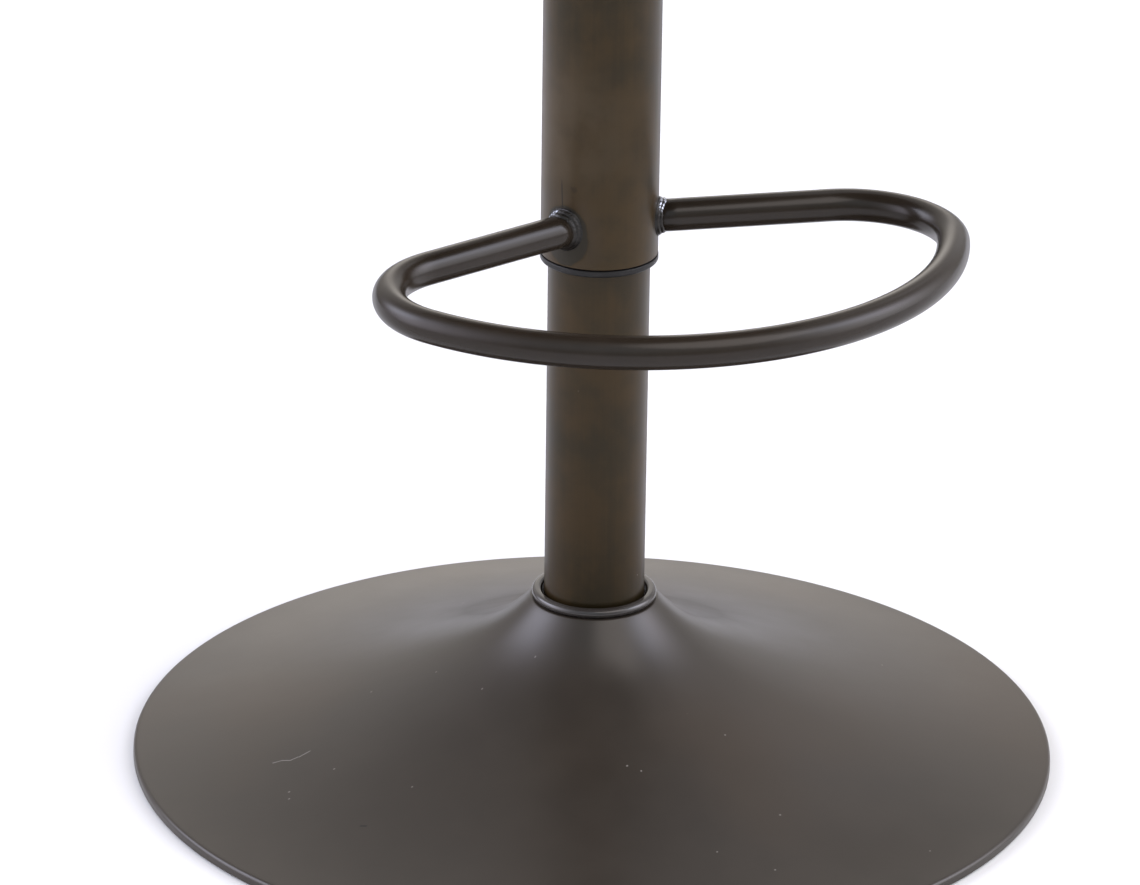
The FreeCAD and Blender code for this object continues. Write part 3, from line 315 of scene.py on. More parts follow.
def iron(name):
    m = Look(name, Metallic=0.75)
    grit = m.noise(420.0, 4.0, 0.7)
    m.set("Base Color", m.mix(m.span(m.noise(40.0, 4.0, 0.65), 0.42, 0.66), (0.075, 0.073, 0.072), (0.125, 0.095, 0.075)))
    m.set("Roughness", m.span(grit, 0.3, 0.7, 0.55, 0.8))
    m.set("Normal", m.bump(grit, 0.0004, 1.0))
    return m.mat


cast = iron("cast_iron")


def rubber(name, tone=(0.017, 0.017, 0.018)):
    m = Look(name, Specular_IOR_Level=0.35)
    dust = m.span(m.noise(70.0, 5.0, 0.7, 0.6), 0.45, 0.75)
    m.set("Base Color", m.mix(m.math("MULTIPLY", dust, 0.35), tone, (0.075, 0.072, 0.068)))
    m.set("Roughness", m.span(m.noise(300.0, 3.0), 0.3, 0.7, 0.62, 0.82))
    m.set("Normal", m.bump(m.noise(1300.0, 3.0, 0.6), 0.00006, 1.0))
    return m.mat


rubber_look = rubber("black_rubber_ring")


def moulded(name, tone, light, rough=(0.36, 0.50), grain=1700.0, depth=0.00005, dull=0.25, spec=0.42):
    """Injection-moulded plastic with a spark-eroded grain and slight handling shine."""
    m = Look(name, IOR=1.5, Specular_IOR_Level=spec)
    wear = m.span(m.noise(90.0, 4.0, 0.6, 0.5), 0.40, 0.70)
    m.set("Base Color", m.mix(m.math("MULTIPLY", wear, dull), tone, light))
    m.set("Roughness", m.span(m.noise(140.0, 4.0, 0.6), 0.3, 0.7, rough[0], rough[1]))
    m.set("Normal", m.bump(m.cells(grain), depth, 1.0))
    return m.mat


bush_look = moulded("bush_black_plastic", (0.0125, 0.0120, 0.0120), (0.040, 0.038, 0.037), rough=(0.38, 0.50), depth=0.00002, dull=0.35, spec=0.25)
plastic_black = moulded("black_plastic", (0.014, 0.014, 0.015), (0.045, 0.045, 0.046))
grip_look = moulded("grip_black_plastic", (0.0135, 0.0135, 0.0145), (0.050, 0.050, 0.052), rough=(0.38, 0.52), grain=1500.0, depth=0.00008)
acetal = moulded("white_acetal", (0.70, 0.70, 0.66), (0.58, 0.57, 0.52), rough=(0.30, 0.45), depth=0.00002)


def enamel(name, tone, light, rough=(0.30, 0.42)):
    m = Look(name, IOR=1.5)
    pits = m.noise(620.0, 3.0, 0.55)
    m.set("Base Color", m.mix(m.span(m.noise(30.0, 4.0, 0.6), 0.35, 0.65), tone, light))
    m.set("Roughness", m.span(m.noise(80.0, 4.0, 0.6), 0.3, 0.7, rough[0], rough[1]))
    m.set("Normal", m.bump(pits, 0.00009, 1.0))
    return m.mat


pan_look = enamel("pan_black_enamel", (0.016, 0.0155, 0.015), (0.026, 0.025, 0.024))
lever_look = enamel("lever_bronze_enamel", (0.024, 0.019, 0.015), (0.036, 0.029, 0.023), rough=(0.28, 0.38))
cylinder_look = enamel("cylinder_black_enamel", (0.012, 0.012, 0.013), (0.022, 0.022, 0.024), rough=(0.2, 0.3))


def ply(name):
    """Birch plywood: figure on the faces, dark and light plies on the edge."""
    m = Look(name)
    figure = m.noise(1.0, 5.0, 0.6, 1.6, m.scaled(9.0, 120.0, 9.0))
    rings = m.noise(1.0, 3.0, 0.5, 0.4, m.scaled(3.0, 26.0, 3.0))
    face = m.mix(m.span(m.math("ADD", m.math("MULTIPLY", figure, 0.6), m.math("MULTIPLY", rings, 0.4)), 0.35, 0.66),
                 (0.40, 0.27, 0.15), (0.60, 0.45, 0.29))
    layer = m.math("FRACT", m.math("MULTIPLY", m.math("SUBTRACT", m.axis("Z"), 0.572), 1.0 / 0.0030))
    edge = m.mix(m.span(layer, 0.46, 0.54), (0.52, 0.37, 0.22), (0.24, 0.145, 0.075))
    upright = m.node("ShaderNodeSeparateXYZ", out="Z", Vector=m.node("ShaderNodeNewGeometry", out="Normal"))
    side = m.span(m.math("ABSOLUTE", upright), 0.4, 0.7, 1.0, 0.0)
    m.set("Base Color", m.mix(side, face, edge))
    m.set("Roughness", m.span(figure, 0.3, 0.7, 0.55, 0.75))
    m.set("Normal", m.bump(figure, 0.00016, 1.0))
    return m.mat


ply_look = ply("birch_plywood")


def hide(name, tone=(0.040, 0.0225, 0.0145), worn=(0.085, 0.050, 0.031), grain=1.0):
    """Coated upholstery hide: pebble grain, fine creases, faint shine on the high spots."""
    m = Look(name, IOR=1.48, Specular_IOR_Level=0.5, Coat_Weight=0.12, Coat_Roughness=0.32)
    warp = m.node("ShaderNodeVectorMath", out="Vector", props={"operation": "ADD"}, i0=m.place,
                  i1=m.node("ShaderNodeVectorMath", out="Vector", props={"operation": "SCALE"},
                            i0=m.node("ShaderNodeTexNoise", out="Color", Vector=m.place, Scale=240.0, Detail=2.0), Scale=0.0011))
    pebble = m.cells(640.0, feature="SMOOTH_F1", at=warp)
    crease = m.node("ShaderNodeTexVoronoi", out="Distance", props={"feature": "DISTANCE_TO_EDGE"}, Vector=warp, Scale=620.0, Randomness=1.0)
    fold = m.noise(70.0, 4.0, 0.6, 1.2)
    pores = m.noise(2600.0, 2.0)
    valley = m.span(crease, 0.0, 0.16, 1.0, 0.0)
    cloud = m.noise(17.0, 4.0, 0.6, 0.6)
    colour = m.mix(m.span(cloud, 0.38, 0.66), tone, worn)
    colour = m.mix(m.math("MULTIPLY", valley, 0.55), colour, (tone[0] * 0.45, tone[1] * 0.42, tone[2] * 0.40))
    m.set("Base Color", colour)
    m.set("Roughness", m.math("ADD", m.span(cloud, 0.3, 0.7, 0.50, 0.40), m.math("MULTIPLY", valley, 0.14)))
    height = m.math("ADD", m.span(crease, 0.0, 0.22), m.math("MULTIPLY", pores, 0.18))
    first = m.bump(fold, 0.0009, 0.35)
    m.set("Normal", m.bump(height, 0.00016 * grain, 0.9, first))
    return m.mat


hide_look = hide("seat_hide_brown")
piping_look = hide("piping_hide_brown", (0.034, 0.019, 0.012), (0.070, 0.040, 0.025), grain=0.7)


def thread(name):
    m = Look(name, Specular_IOR_Level=0.3, Sheen_Weight=0.3, Sheen_Roughness=0.4)
    twist = m.node("ShaderNodeTexWave", out="Fac", props={"wave_type": "BANDS", "bands_direction": "DIAGONAL"},
                   Vector=m.place, Scale=900.0, Distortion=1.5, Detail=2.0)
    m.set("Base Color", m.mix(twist, (0.105, 0.062, 0.036), (0.185, 0.118, 0.070)))
    m.set("Roughness", m.span(twist, 0.0, 1.0, 0.72, 0.58))
    m.set("Normal", m.bump(twist, 0.0001, 1.0))
    return m.mat


thread_look = thread("seat_thread")


def nonwoven(name):
    """Black spun-bonded cloth: random fibres and the dimples of its bonding."""
    m = Look(name, Specular_IOR_Level=0.25, Sheen_Weight=0.18, Sheen_Roughness=0.5)
    a = m.noise(1.0, 3.0, 0.6, 0.8, m.scaled(260.0, 1500.0, 600.0, turn=(0.0, 0.0, 0.5)))
    b = m.noise(1.0, 3.0, 0.6, 0.8, m.scaled(1500.0, 240.0, 600.0, turn=(0.0, 0.0, -0.3)))
    fibre = m.math("MAXIMUM", a, b)
    grid = m.cells(620.0, at=m.scaled(1.0, 1.0, 0.0), jitter=0.25)
    dimple = m.span(grid, 0.18, 0.34)
    m.set("Base Color", m.mix(m.span(fibre, 0.45, 0.72), (0.010, 0.010, 0.011), (0.036, 0.036, 0.038)))
    m.set("Roughness", m.span(fibre, 0.3, 0.7, 0.92, 0.76))
    m.set("Normal", m.bump(m.math("ADD", m.math("MULTIPLY", fibre, 0.6), m.math("MULTIPLY", dimple, 0.7)), 0.00022, 0.9))
    return m.mat


nonwoven_look = nonwoven("dust_cloth_black")


# ---------------------------------------------------------------- mesh helpers
def build(name, verts, faces, mat, smooth=True):
    me = bpy.data.meshes.new(name)
    me.from_pydata([tuple(v) for v in verts], [], faces)
    me.update()
    bm = bmesh.new()
    bm.from_mesh(me)
    bmesh.ops.recalc_face_normals(bm, faces=bm.faces)
    bm.to_mesh(me)
    bm.free()
    me.polygons.foreach_set("use_smooth", [smooth] * len(me.polygons))
    me.materials.append(mat)
    me.update()
    o = bpy.data.objects.new(name, me)
    scene.collection.objects.link(o)
    return o


def weighted(o):
    w = o.modifiers.new("normals", "WEIGHTED_NORMAL")
    w.keep_sharp = False
    w.weight = 90
    return o


def rounded(corners, steps=5):
    """Closed (r, z) outline whose corners are (r, z, round)."""
    out = []
    n = len(corners)
    for i, (r, z, q) in enumerate(corners):
        if q <= 0:
            out.append((r, z))
            continue
        p = Vector((r, z))
        a = (Vector(corners[i - 1][:2]) - p).normalized()
        b = (Vector(corners[(i + 1) % n][:2]) - p).normalized()
        angle = a.angle(b)
        reach = q / math.tan(angle / 2)
        centre = p + (a + b).normalized() * (q / math.sin(angle / 2))
        u, v = p + a * reach - centre, p + b * reach - centre
        sweep = u.angle(v)
        for k in range(steps + 1):
            t = k / steps
            w = (u * math.sin((1 - t) * sweep) + v * math.sin(t * sweep)) / math.sin(sweep)
            out.append((centre.x + w.x, centre.y + w.y))
    return out


def lathe(name, outline, segments, mat, warp=None):
    """Closed body of revolution about Z from an (r, z) loop in mm."""
    n = len(outline)
    verts = []
    for i in range(segments):
        a = 2 * math.pi * i / segments
        for r, z in outline:
            if warp:
                r, z = warp(r, z, a)
            verts.append((r * math.cos(a) * MM, r * math.sin(a) * MM, z * MM))
    faces = []
    for i in range(segments):
        k = (i + 1) % segments
        for j in range(n):
            l = (j + 1) % n
            faces.append((i * n + j, k * n + j, k * n + l, i * n + l))
    return weighted(build(name, verts, faces, mat))


def place(o, body, slot, *stands_for):
    if stands_for:
        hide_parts(*stands_for)
    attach(o, body)
    return o


# ---------------------------------------------------------------- trumpet base
def dome(r):
    return 5.5 + 0.1007 * (231.0 - r) + 0.002475 * (231.0 - r) ** 2 / 2.0


def share(r):
    return 8.51 * math.log(1.0 + math.exp((45.17 - r) / 8.51))


LIFT = (84.0 - dome(31.9)) / (share(31.9) - share(231.0))


def flare(r):
    return dome(r) + LIFT * (share(r) - share(231.0))


def flare_at(r, depth):
    g = (flare(r + 0.05) - flare(r - 0.05)) / 0.1
    q = math.hypot(1.0, g)
    return r + depth * g / q, flare(r) - depth / q


radii = []
r = 33.1
while r < 226.5:
    radii.append(r)
    r += 0.9 + 0.014 * (r - 32.0)
radii.append(227.2)
outside = [flare_at(r, 0.0) for r in radii]
inside = [flare_at(r, 1.5) for r in radii if 34.0 < r < 227.0]
rim = rounded([(222.0, flare(222.0), 0), (231.0, 5.5, 2.2), (231.0, 0.8, 0.45), (229.5, 0.8, 0.45), (229.5, 4.15, 0.9), (222.0, flare(222.0) - 1.5, 0)], 6)[1:-1]
neck = rounded([(27.0, 80.7, 0), (26.2, 82.5, 0.25), (26.2, 84.0, 0.45), (31.75, 84.0, 1.15), (33.6, flare(33.6), 0)], 7)[1:-1]
loop = neck + outside + rim + inside[::-1] + [(30.4, 82.5)]
base_shell = lathe("base_shell_spun", loop, 448, base_look.mat)
place(base_shell, "base", "bronze_base", "base_shell")

ring = lathe("neck_ring_trim", rounded([(26.2, 84.03, 0.3), (31.3, 84.03, 2.2), (31.3, 88.5, 2.2), (26.2, 88.5, 1.6)], 10), 256, ring_look.mat)
place(ring, "base", "bronze_ring", "neck_ring")

# ---------------------------------------------------------------- column and sleeve
column = lathe("column_tube", rounded([(21.6, 16.0, 0.2), (23.6, 16.0, 0.4), (25.0, 82.4, 0), (25.0, 150.0, 0), (25.0, 250.0, 0),
                                       (25.0, 350.0, 0), (25.0, 450.0, 0), (25.0, 510.0, 0.6), (23.0, 510.0, 0.3), (23.0, 60.0, 0),
                                       (21.6, 52.0, 0)], 4), 224, column_look.mat)
place(column, "base", "bronze_column", "outer_column")

sleeve = lathe("sleeve_tube", rounded([(27.24, 267.75, 0.2), (28.74, 267.75, 0.35), (28.74, 340.0, 0), (28.74, 410.0, 0), (28.74, 480.0, 0),
                                       (28.74, 555.0, 0.5), (27.24, 555.0, 0.3), (27.24, 420.0, 0)], 4), 240, sleeve_look.mat)
place(sleeve, "carriage", "bronze_sleeve", "sleeve")

bush = lathe("sleeve_bush_flange", rounded([(25.05, 263.8, 0.5), (29.0, 263.8, 1.35), (29.0, 267.1, 0.45), (27.22, 267.1, 0.1),
                                            (27.22, 296.0, 0.3), (25.05, 296.0, 0.5)], 6), 240, bush_look)
place(bush, "carriage", "bush_plastic", "sleeve_bush")

# ---------------------------------------------------------------- footrest
TUBE, LEVEL = 8.03, 286.6
SLEEVE_R = 28.74
slant = math.radians(14.09)


def arm_reach(side, v, w, radius):
    """Distance along an arm at which the point (v across, w up) of its section meets a radius about the column."""
    d = Vector((side * math.cos(slant), -math.sin(slant)))
    n = Vector((-d.y, d.x)) * side
    p = Vector((0.0, -7.38)) + n * v
    b = p.dot(d)
    return -b + math.sqrt(b * b - p.length_squared + radius * radius)


def arm_point(side, t, v, w):
    d = Vector((side * math.cos(slant), -math.sin(slant)))
    n = Vector((-d.y, d.x)) * side
    p = Vector((0.0, -7.38)) + d * t + n * v
    return Vector((p.x, p.y, LEVEL + w))


def centre_line():
    """Points of the tube's centre line, from the right arm round the bow to the left arm, with direction."""
    pts = []
    end = Vector((107.93, -34.47))
    d = Vector((math.cos(slant), -math.sin(slant)))
    start = Vector((0.0, -7.38)) + d * 34.0
    n = 26
    for k in range(n):
        pts.append(start.lerp(end, k / n))
    c = Vector((96.14, -81.43))
    a0, a1 = math.radians(75.91), math.radians(-27.80)
    n = 48
    for k in range(n):
        a = a0 + (a1 - a0) * k / n
        pts.append(c + Vector((math.cos(a), math.sin(a))) * 48.41)
    c = Vector((0.0, -30.73))
    a0, a1 = math.radians(-27.80), math.radians(-90.0)
    n = 110
    for k in range(n + 1):
        a = a0 + (a1 - a0) * k / n
        pts.append(c + Vector((math.cos(a), math.sin(a))) * 157.10)
    left = [Vector((-p.x, p.y)) for p in reversed(pts[:-1])]
    return pts + left


def tube_section(k, count):
    a = 2 * math.pi * k / count
    return math.cos(a), math.sin(a)


def footrest():
    count = 56
    line = centre_line()
    total = len(line)
    verts, rings = [], []
    # dents where the bender's jaws held the tube: (place, strength, side of the section)
    dents = [(Vector((-149.0, -79.0)), 0.16), (Vector((-147.6, -84.5)), 0.14), (Vector((-73.5, -169.5)), 0.10), (Vector((146.5, -86.0)), 0.12)]

    def end_rings(side):
        out = []
        for share, radius in ((0.0, 27.95), (0.35, 27.95), (0.7, 27.95), (1.0, 27.95)):
            ring = []
            for k in range(count):
                c, s = tube_section(k, count)
                v, w = c * TUBE * share, s * TUBE * share
                ring.append(arm_point(side, arm_reach(side, v, w, radius), v, w))
            out.append(ring)
        return out

    def at(i, share=1.0):
        p = line[i]
        q = (line[min(i + 1, total - 1)] - line[max(i - 1, 0)]).normalized()
        n = Vector((-q.y, q.x))
        ring = []
        for k in range(count):
            c, s = tube_section(k, count)
            r = TUBE
            for spot, deep in dents:
                gap = (p - spot).length
                if gap < 9.0:
                    facing = max(0.0, 0.75 * s + 0.65 * (-c if n.dot(p) > 0 else c)) ** 1.5
                    r -= deep * facing * math.exp(-(gap / 1.5) ** 2)
            ring.append(Vector((p.x + n.x * c * r, p.y + n.y * c * r, LEVEL + s * r)))
        return ring

    first = end_rings(1)
    for ring in first:
        rings.append(ring)
    for i in range(total):
        rings.append(at(i))
    # the last end mirrors the first
    for ring in first[::-1]:
        rings.append([Vector((-p.x, p.y, p.z)) for p in ring])
    # the two centre rings become points
    verts.append(rings[0][0] * MM)
    for ring in rings[1:-1]:
        verts.extend([p * MM for p in ring])
    verts.append(rings[-1][0] * MM)
    faces = []
    bands = len(rings) - 2
    for k in range(count):
        faces.append((0, 1 + k, 1 + (k + 1) % count))
    for i in range(bands - 1):
        for k in range(count):
            l = (k + 1) % count
            a = 1 + i * count
            faces.append((a + k, a + l, a + count + l, a + count + k))
    a = 1 + (bands - 1) * count
    for k in range(count):
        faces.append((a + k, len(verts) - 1, a + (k + 1) % count))
    return build("footrest_tube", verts, faces, rest_look.mat)


rest = footrest()
place(rest, "carriage", "bronze_footrest", "footrest")


def weld(side, name):
    """Fillet weld round an arm: a longer leg on the arm than on the sleeve, two ridges and the ripples of its puddle."""
    around = 540
    ripples = 27 if side < 0 else 25
    # (distance along the arm from the sleeve, height over the arm), and how much the ridges move each point
    section = ((-1.4, -0.6, 0.0), (5.3, -0.6, 0.0), (5.2, -0.15, 0.05), (4.9, 0.22, 0.35), (4.45, 0.52, 0.9), (3.95, 0.74, 1.0), (3.45, 0.82, 0.8),
               (3.0, 0.92, 0.1), (2.6, 1.12, 0.35), (2.15, 1.42, 0.9), (1.65, 1.66, 1.0), (1.15, 1.82, 0.7), (0.75, 1.98, 0.2),
               (0.35, 2.24, 0.3), (0.0, 2.52, 0.35), (-0.3, 2.72, 0.1), (-0.9, 2.72, 0.0), (-1.4, 2.0, 0.0))
    across = len(section)
    d = Vector((side * math.cos(slant), -math.sin(slant), 0.0))
    n = Vector((-d.y, d.x, 0.0)) * side
    verts, faces, ridges = [], [], []
    for i in range(around):
        a = 2 * math.pi * i / around
        c, s = math.cos(a), math.sin(a)
        # high over and under the arm, nearly flush on its front
        front = max(0.0, -c) ** 1.5
        rise = (1.28 - 1.06 * front if side < 0 else 0.62 - 0.30 * front) if s > 0 else (0.98 - 0.76 * front if side < 0 else 0.80 - 0.45 * front)
        leg = (1.0 if side < 0 else 0.74) + 0.16 * noise.noise(Vector((c * 1.7 + side * 7.0, s * 1.7, 2.0))) + 0.07 * noise.noise(Vector((c * 5.0, s * 5.0, side * 3.0)))
        tall = 1.0 + 0.20 * noise.noise(Vector((c * 1.5, s * 1.5 + side * 4.0, 6.0)))
        shift = 0.45 * noise.noise(Vector((c * 3.1, s * 3.1, side * 5.0)))
        phase = a / (2 * math.pi) * ripples + shift
        ridge = 0.28 + 0.20 * noise.noise(Vector((c * 2.6, s * 2.6, 8.0 + side)))
        w_arm = s * (TUBE - 0.1)
        v = c * (TUBE - 0.1)
        foot = arm_reach(side, v, w_arm, SLEEVE_R - 0.15)
        out = n * c + Vector((0, 0, 1)) * s
        for j, (t, h, move) in enumerate(section):
            # each ripple is bowed: its middle runs ahead of its ends
            bow = phase + 0.55 * math.sin(math.pi * min(1.0, max(0.0, (t + 0.3) / 5.5)))
            saw = bow - math.floor(bow)
            step = (saw ** 0.8) * (1.0 if saw < 0.86 else (1.0 - saw) / 0.14) - 0.45
            grit = noise.noise(Vector((c * 26.0 + side, s * 26.0, t * 1.9)))
            lift = h * tall * rise + move * (0.35 + 0.65 * rise) * (ridge + 0.17 * step + 0.10 * grit) if h > -0.5 else h
            ridges.append(max(0.0, min(1.0, move * (0.55 + 0.9 * step + 0.3 * grit))))
            spot = arm_point(side, foot + t * leg, v, w_arm) + out * lift
            if t < 0.6:
                # the short leg follows the sleeve's own curve
                flat = Vector((spot.x, spot.y, 0.0))
                over = {0.35: 0.75, 0.0: 0.34, -0.3: 0.02}.get(t, -0.7 if t < -0.5 else None)
                if over is not None:
                    flat = flat.normalized() * (SLEEVE_R + over * (0.4 + 0.6 * rise) + (0.10 * step + 0.06 * grit if over > 0.1 else 0.0))
                    spot = Vector((flat.x, flat.y, spot.z))
            verts.append(spot * MM)
    for i in range(around):
        k = (i + 1) % around
        for j in range(across):
            l = (j + 1) % across
            faces.append((i * across + j, k * across + j, k * across + l, i * across + l))
    o = build(name, verts, faces, weld_look)
    o.data.attributes.new("ridge", "FLOAT", "POINT").data.foreach_set("value", ridges)
    return o


weld_left = weld(-1, "footrest_weld_left")
weld_right = weld(1, "footrest_weld_right")
place(weld_left, "carriage", "weld_steel", "footrest_welds")
place(weld_right, "carriage", "weld_steel", "footrest_welds")

# ---------------------------------------------------------------- seat cushion
SEAM, EDGE = 190.0, 622.0


def disc_grid(n, radius):
    """Quad grid mapped onto a disc: points and the loop of its border in order of angle."""
    pts, index = [], {}
    for i in range(n + 1):
        for j in range(n + 1):
            a, b = 2.0 * i / n - 1.0, 2.0 * j / n - 1.0
            if a == 0 and b == 0:
                x = y = 0.0
            else:
                if abs(a) >= abs(b):
                    r, t = a, (math.pi / 4) * (b / a)
                else:
                    r, t = b, math.pi / 2 - (math.pi / 4) * (a / b)
                x, y = r * math.cos(t), r * math.sin(t)
            index[(i, j)] = len(pts)
            pts.append((x * radius, y * radius))
    border = [k for (i, j), k in index.items() if i in (0, n) or j in (0, n)]
    border.sort(key=lambda k: math.atan2(pts[k][1], pts[k][0]))
    quads = [(index[(i, j)], index[(i + 1, j)], index[(i + 1, j + 1)], index[(i, j + 1)]) for i in range(n) for j in range(n)]
    return pts, border, quads


def cushion_shape():
    n = 72
    pts, border, quads = disc_grid(n, 1.0)
    verts, faces, tag = [], [], []

    def crown(q):
        return EDGE + 17.0 * (1.0 - q ** 3.0) * (0.86 + 0.14 * (1.0 - q * q))

    for x, y in pts:
        q = min(1.0, math.hypot(x, y))
        verts.append((x * SEAM, y * SEAM, crown(q)))
        tag.append("seam" if q > 0.9995 else "top")
    faces += quads
    last = list(border)
    side = []
    for k in range(1, 13):
        t = k / 12
        z = EDGE - 46.0 * t
        r = SEAM + 1.6 * math.sin(math.pi * t)
        side.append((r, z, "bottom" if k >= 12 else "side"))
    side += [(189.6, 573.4, "bottom"), (188.4, 572.35, "bottom"), (186.2, 572.35, "bottom"), (185.6, 573.4, "bottom"),
             (185.5, 578.0, "bottom"), (185.5, 583.2, "bottom"), (184.6, 584.4, "bottom")]
    count = len(border)
    for r, z, what in side:
        new = []
        for k in border:
            x, y = pts[k]
            a = math.atan2(y, x)
            new.append(len(verts))
            verts.append((r * math.cos(a), r * math.sin(a), z))
            tag.append(what)
        for k in range(count):
            l = (k + 1) % count
            faces.append((last[k], last[l], new[l], new[k]))
        last = new
    # underside of the foam, on the board
    under = dict(zip(border, last))
    for k, (x, y) in enumerate(pts):
        if k not in under:
            under[k] = len(verts)
            verts.append((x * 184.6, y * 184.6, 584.4))
            tag.append("bottom")
    faces += [tuple(under[k] for k in quad)[::-1] for quad in quads]
    return verts, faces, tag


cv, cf, ctag = cushion_shape()
cushion = build("seat_cushion_cover", [(x * MM, y * MM, z * MM) for x, y, z in cv], cf, hide_look)

# the foam pushes the cover out between its seams
group = cushion.vertex_groups.new(name="held")
group.add([i for i, t in enumerate(ctag) if t in ("seam", "bottom")], 1.0, "REPLACE")
cloth = cushion.modifiers.new("Cloth", "CLOTH")
s = cloth.settings
s.quality = 7
s.mass = 0.35
s.tension_stiffness = s.compression_stiffness = 18.0
s.shear_stiffness = 8.0
s.bending_stiffness = 2.2
s.use_pressure = True
s.uniform_pressure_force = 4.2
s.vertex_group_mass = "held"
s.shrink_min = -0.018
s.effector_weights.gravity = 0.0
cloth.collision_settings.use_collision = False
cloth.collision_settings.use_self_collision = False
cloth.point_cache.frame_start, cloth.point_cache.frame_end = 1, 20
for f in range(1, 21):
    scene.frame_set(f)
dg = bpy.context.evaluated_depsgraph_get()
settled = bpy.data.meshes.new_from_object(cushion.evaluated_get(dg))
after = np.zeros(len(settled.vertices) * 3)
settled.vertices.foreach_get("co", after)
after = after.reshape(-1, 3)
before = np.zeros(len(cushion.data.vertices) * 3)
cushion.data.vertices.foreach_get("co", before)
before = before.reshape(-1, 3)
cushion.modifiers.remove(cloth)
bpy.data.meshes.remove(settled)
move = after - before
far = np.linalg.norm(move, axis=1)
cap = 0.016
move *= (cap * np.tanh(far / cap) / np.maximum(far, 1e-9))[:, None]
shaped = before + move
scene.frame_set(1)
cushion.data.vertices.foreach_set("co", shaped.ravel())
cushion.data.update()
print("cushion top", shaped[:, 2].max(), "radius", np.hypot(shaped[:, 0], shaped[:, 1]).max())

# sewn look: a finer mesh, gathers beside the seams, a slight hollow where people sit
sub = cushion.modifiers.new("finer", "SUBSURF")
sub.levels = sub.render_levels = 1
dg = bpy.context.evaluated_depsgraph_get()
fine = bpy.data.meshes.new_from_object(cushion.evaluated_get(dg))
cushion.modifiers.remove(sub)
old = cushion.data
cushion.data = fine
bpy.data.meshes.remove(old)
co = np.zeros(len(fine.vertices) * 3)
fine.vertices.foreach_get("co", co)
co = co.reshape(-1, 3)
nrm = np.zeros(len(fine.vertices) * 3)
fine.vertices.foreach_get("normal", nrm)
nrm = nrm.reshape(-1, 3)
for i in range(len(co)):
    x, y, z = co[i] / MM
    rr = math.hypot(x, y)
    if z < 575.0 or (z < 590.0 and rr < 186.5):
        continue
    a = math.atan2(y, x)
    ca, sa = math.cos(a), math.sin(a)
    if z > EDGE + 0.5 and rr < SEAM:
        near = math.exp(-((SEAM - rr) / 15.0) ** 1.25)
        gather = noise.noise(Vector((ca * 13.0, sa * 13.0, 0.3))) + 0.6 * noise.noise(Vector((ca * 29.0, sa * 29.0, 1.7)))
        dip = 0.85 * near * gather
        soft = 0.7 * noise.noise(Vector((x / 75.0, y / 75.0, 4.0))) * (1 - near)
        seat = -1.1 * math.exp(-((x / 95.0) ** 2 + ((y - 10.0) / 80.0) ** 2) ** 1.5)
        lift = dip + soft + seat
    else:
        up_near = math.exp(-abs(EDGE - z) / 9.0)
        low_near = math.exp(-abs(z - 577.0) / 9.0)
        gather = noise.noise(Vector((ca * 15.0, sa * 15.0, 2.3))) + 0.6 * noise.noise(Vector((ca * 31.0, sa * 31.0, 0.7)))
        under = noise.noise(Vector((ca * 14.0, sa * 14.0, 9.3))) + 0.6 * noise.noise(Vector((ca * 33.0, sa * 33.0, 5.7)))
        lift = 0.60 * up_near * gather + 0.60 * low_near * under + 0.30 * noise.noise(Vector((ca * 5.0, sa * 5.0, z / 20.0)))
    co[i] += nrm[i] * lift * MM
fine.vertices.foreach_set("co", co.ravel())
fine.polygons.foreach_set("use_smooth", [True] * len(fine.polygons))
fine.update()
place(cushion, "carriage", "seat_hide", "seat_cushion")


flank = co[np.hypot(co[:, 0], co[:, 1]) > 186.5 * MM] / MM
flank_at = np.arctan2(flank[:, 1], flank[:, 0])
flank_r = np.hypot(flank[:, 0], flank[:, 1])


def on_side(z, outwards=0.0):
    """Radius of the cushion's side at a height, for each of 360 directions, from the finished mesh."""
    share = np.exp(-((flank[:, 2] - z) / 1.6) ** 2)
    slot_at = np.floor((flank_at + math.pi) / (2 * math.pi) * 360).astype(int) % 360
    total = np.bincount(slot_at, share, 360)
    value = np.bincount(slot_at, share * flank_r, 360)
    smooth_t = total + 0.7 * (np.roll(total, 1) + np.roll(total, -1))
    smooth_v = value + 0.7 * (np.roll(value, 1) + np.roll(value, -1))
    return [float(x) + outwards for x in smooth_v / np.maximum(smooth_t, 1e-9)]


def piping(name, z, radius, mid):
    """Welt cord sewn into a seam: a round tube with the pinch of its stitches, following the seam."""
    around, across = 1080, 14
    table = on_side(z)
    verts, faces = [], []
    for i in range(around):
        a = -math.pi + 2 * math.pi * i / around
        f = (i / around * 360 - 0.5) % 360
        lo = int(math.floor(f)) % 360
        rr = table[lo] * (1 - f % 1) + table[(lo + 1) % 360] * (f % 1)
        rr = 0.35 * rr + 0.65 * mid
        pinch = 1.0 + 0.035 * math.sin(2 * math.pi * i / around * 290) + 0.05 * noise.noise(Vector((math.cos(a) * 11, math.sin(a) * 11, z)))
        wave = 0.25 * noise.noise(Vector((math.cos(a) * 6, math.sin(a) * 6, z * 0.1)))
        for j in range(across):
            b = 2 * math.pi * j / across
            q = radius * pinch
            verts.append(((rr + q * math.cos(b)) * math.cos(a) * MM, (rr + q * math.cos(b)) * math.sin(a) * MM,
                          (z + wave + q * math.sin(b)) * MM))
    for i in range(around):
        k = (i + 1) % around
        for j in range(across):
            l = (j + 1) % across
            faces.append((i * across + j, k * across + j, k * across + l, i * across + l))
    o = build(name, verts, faces, piping_look)
    return place(o, "carriage", "seat_hide")


piping("seat_piping_top", 622.0, 3.0, 190.6)
piping("seat_piping_bottom", 577.2, 2.8, 190.4)


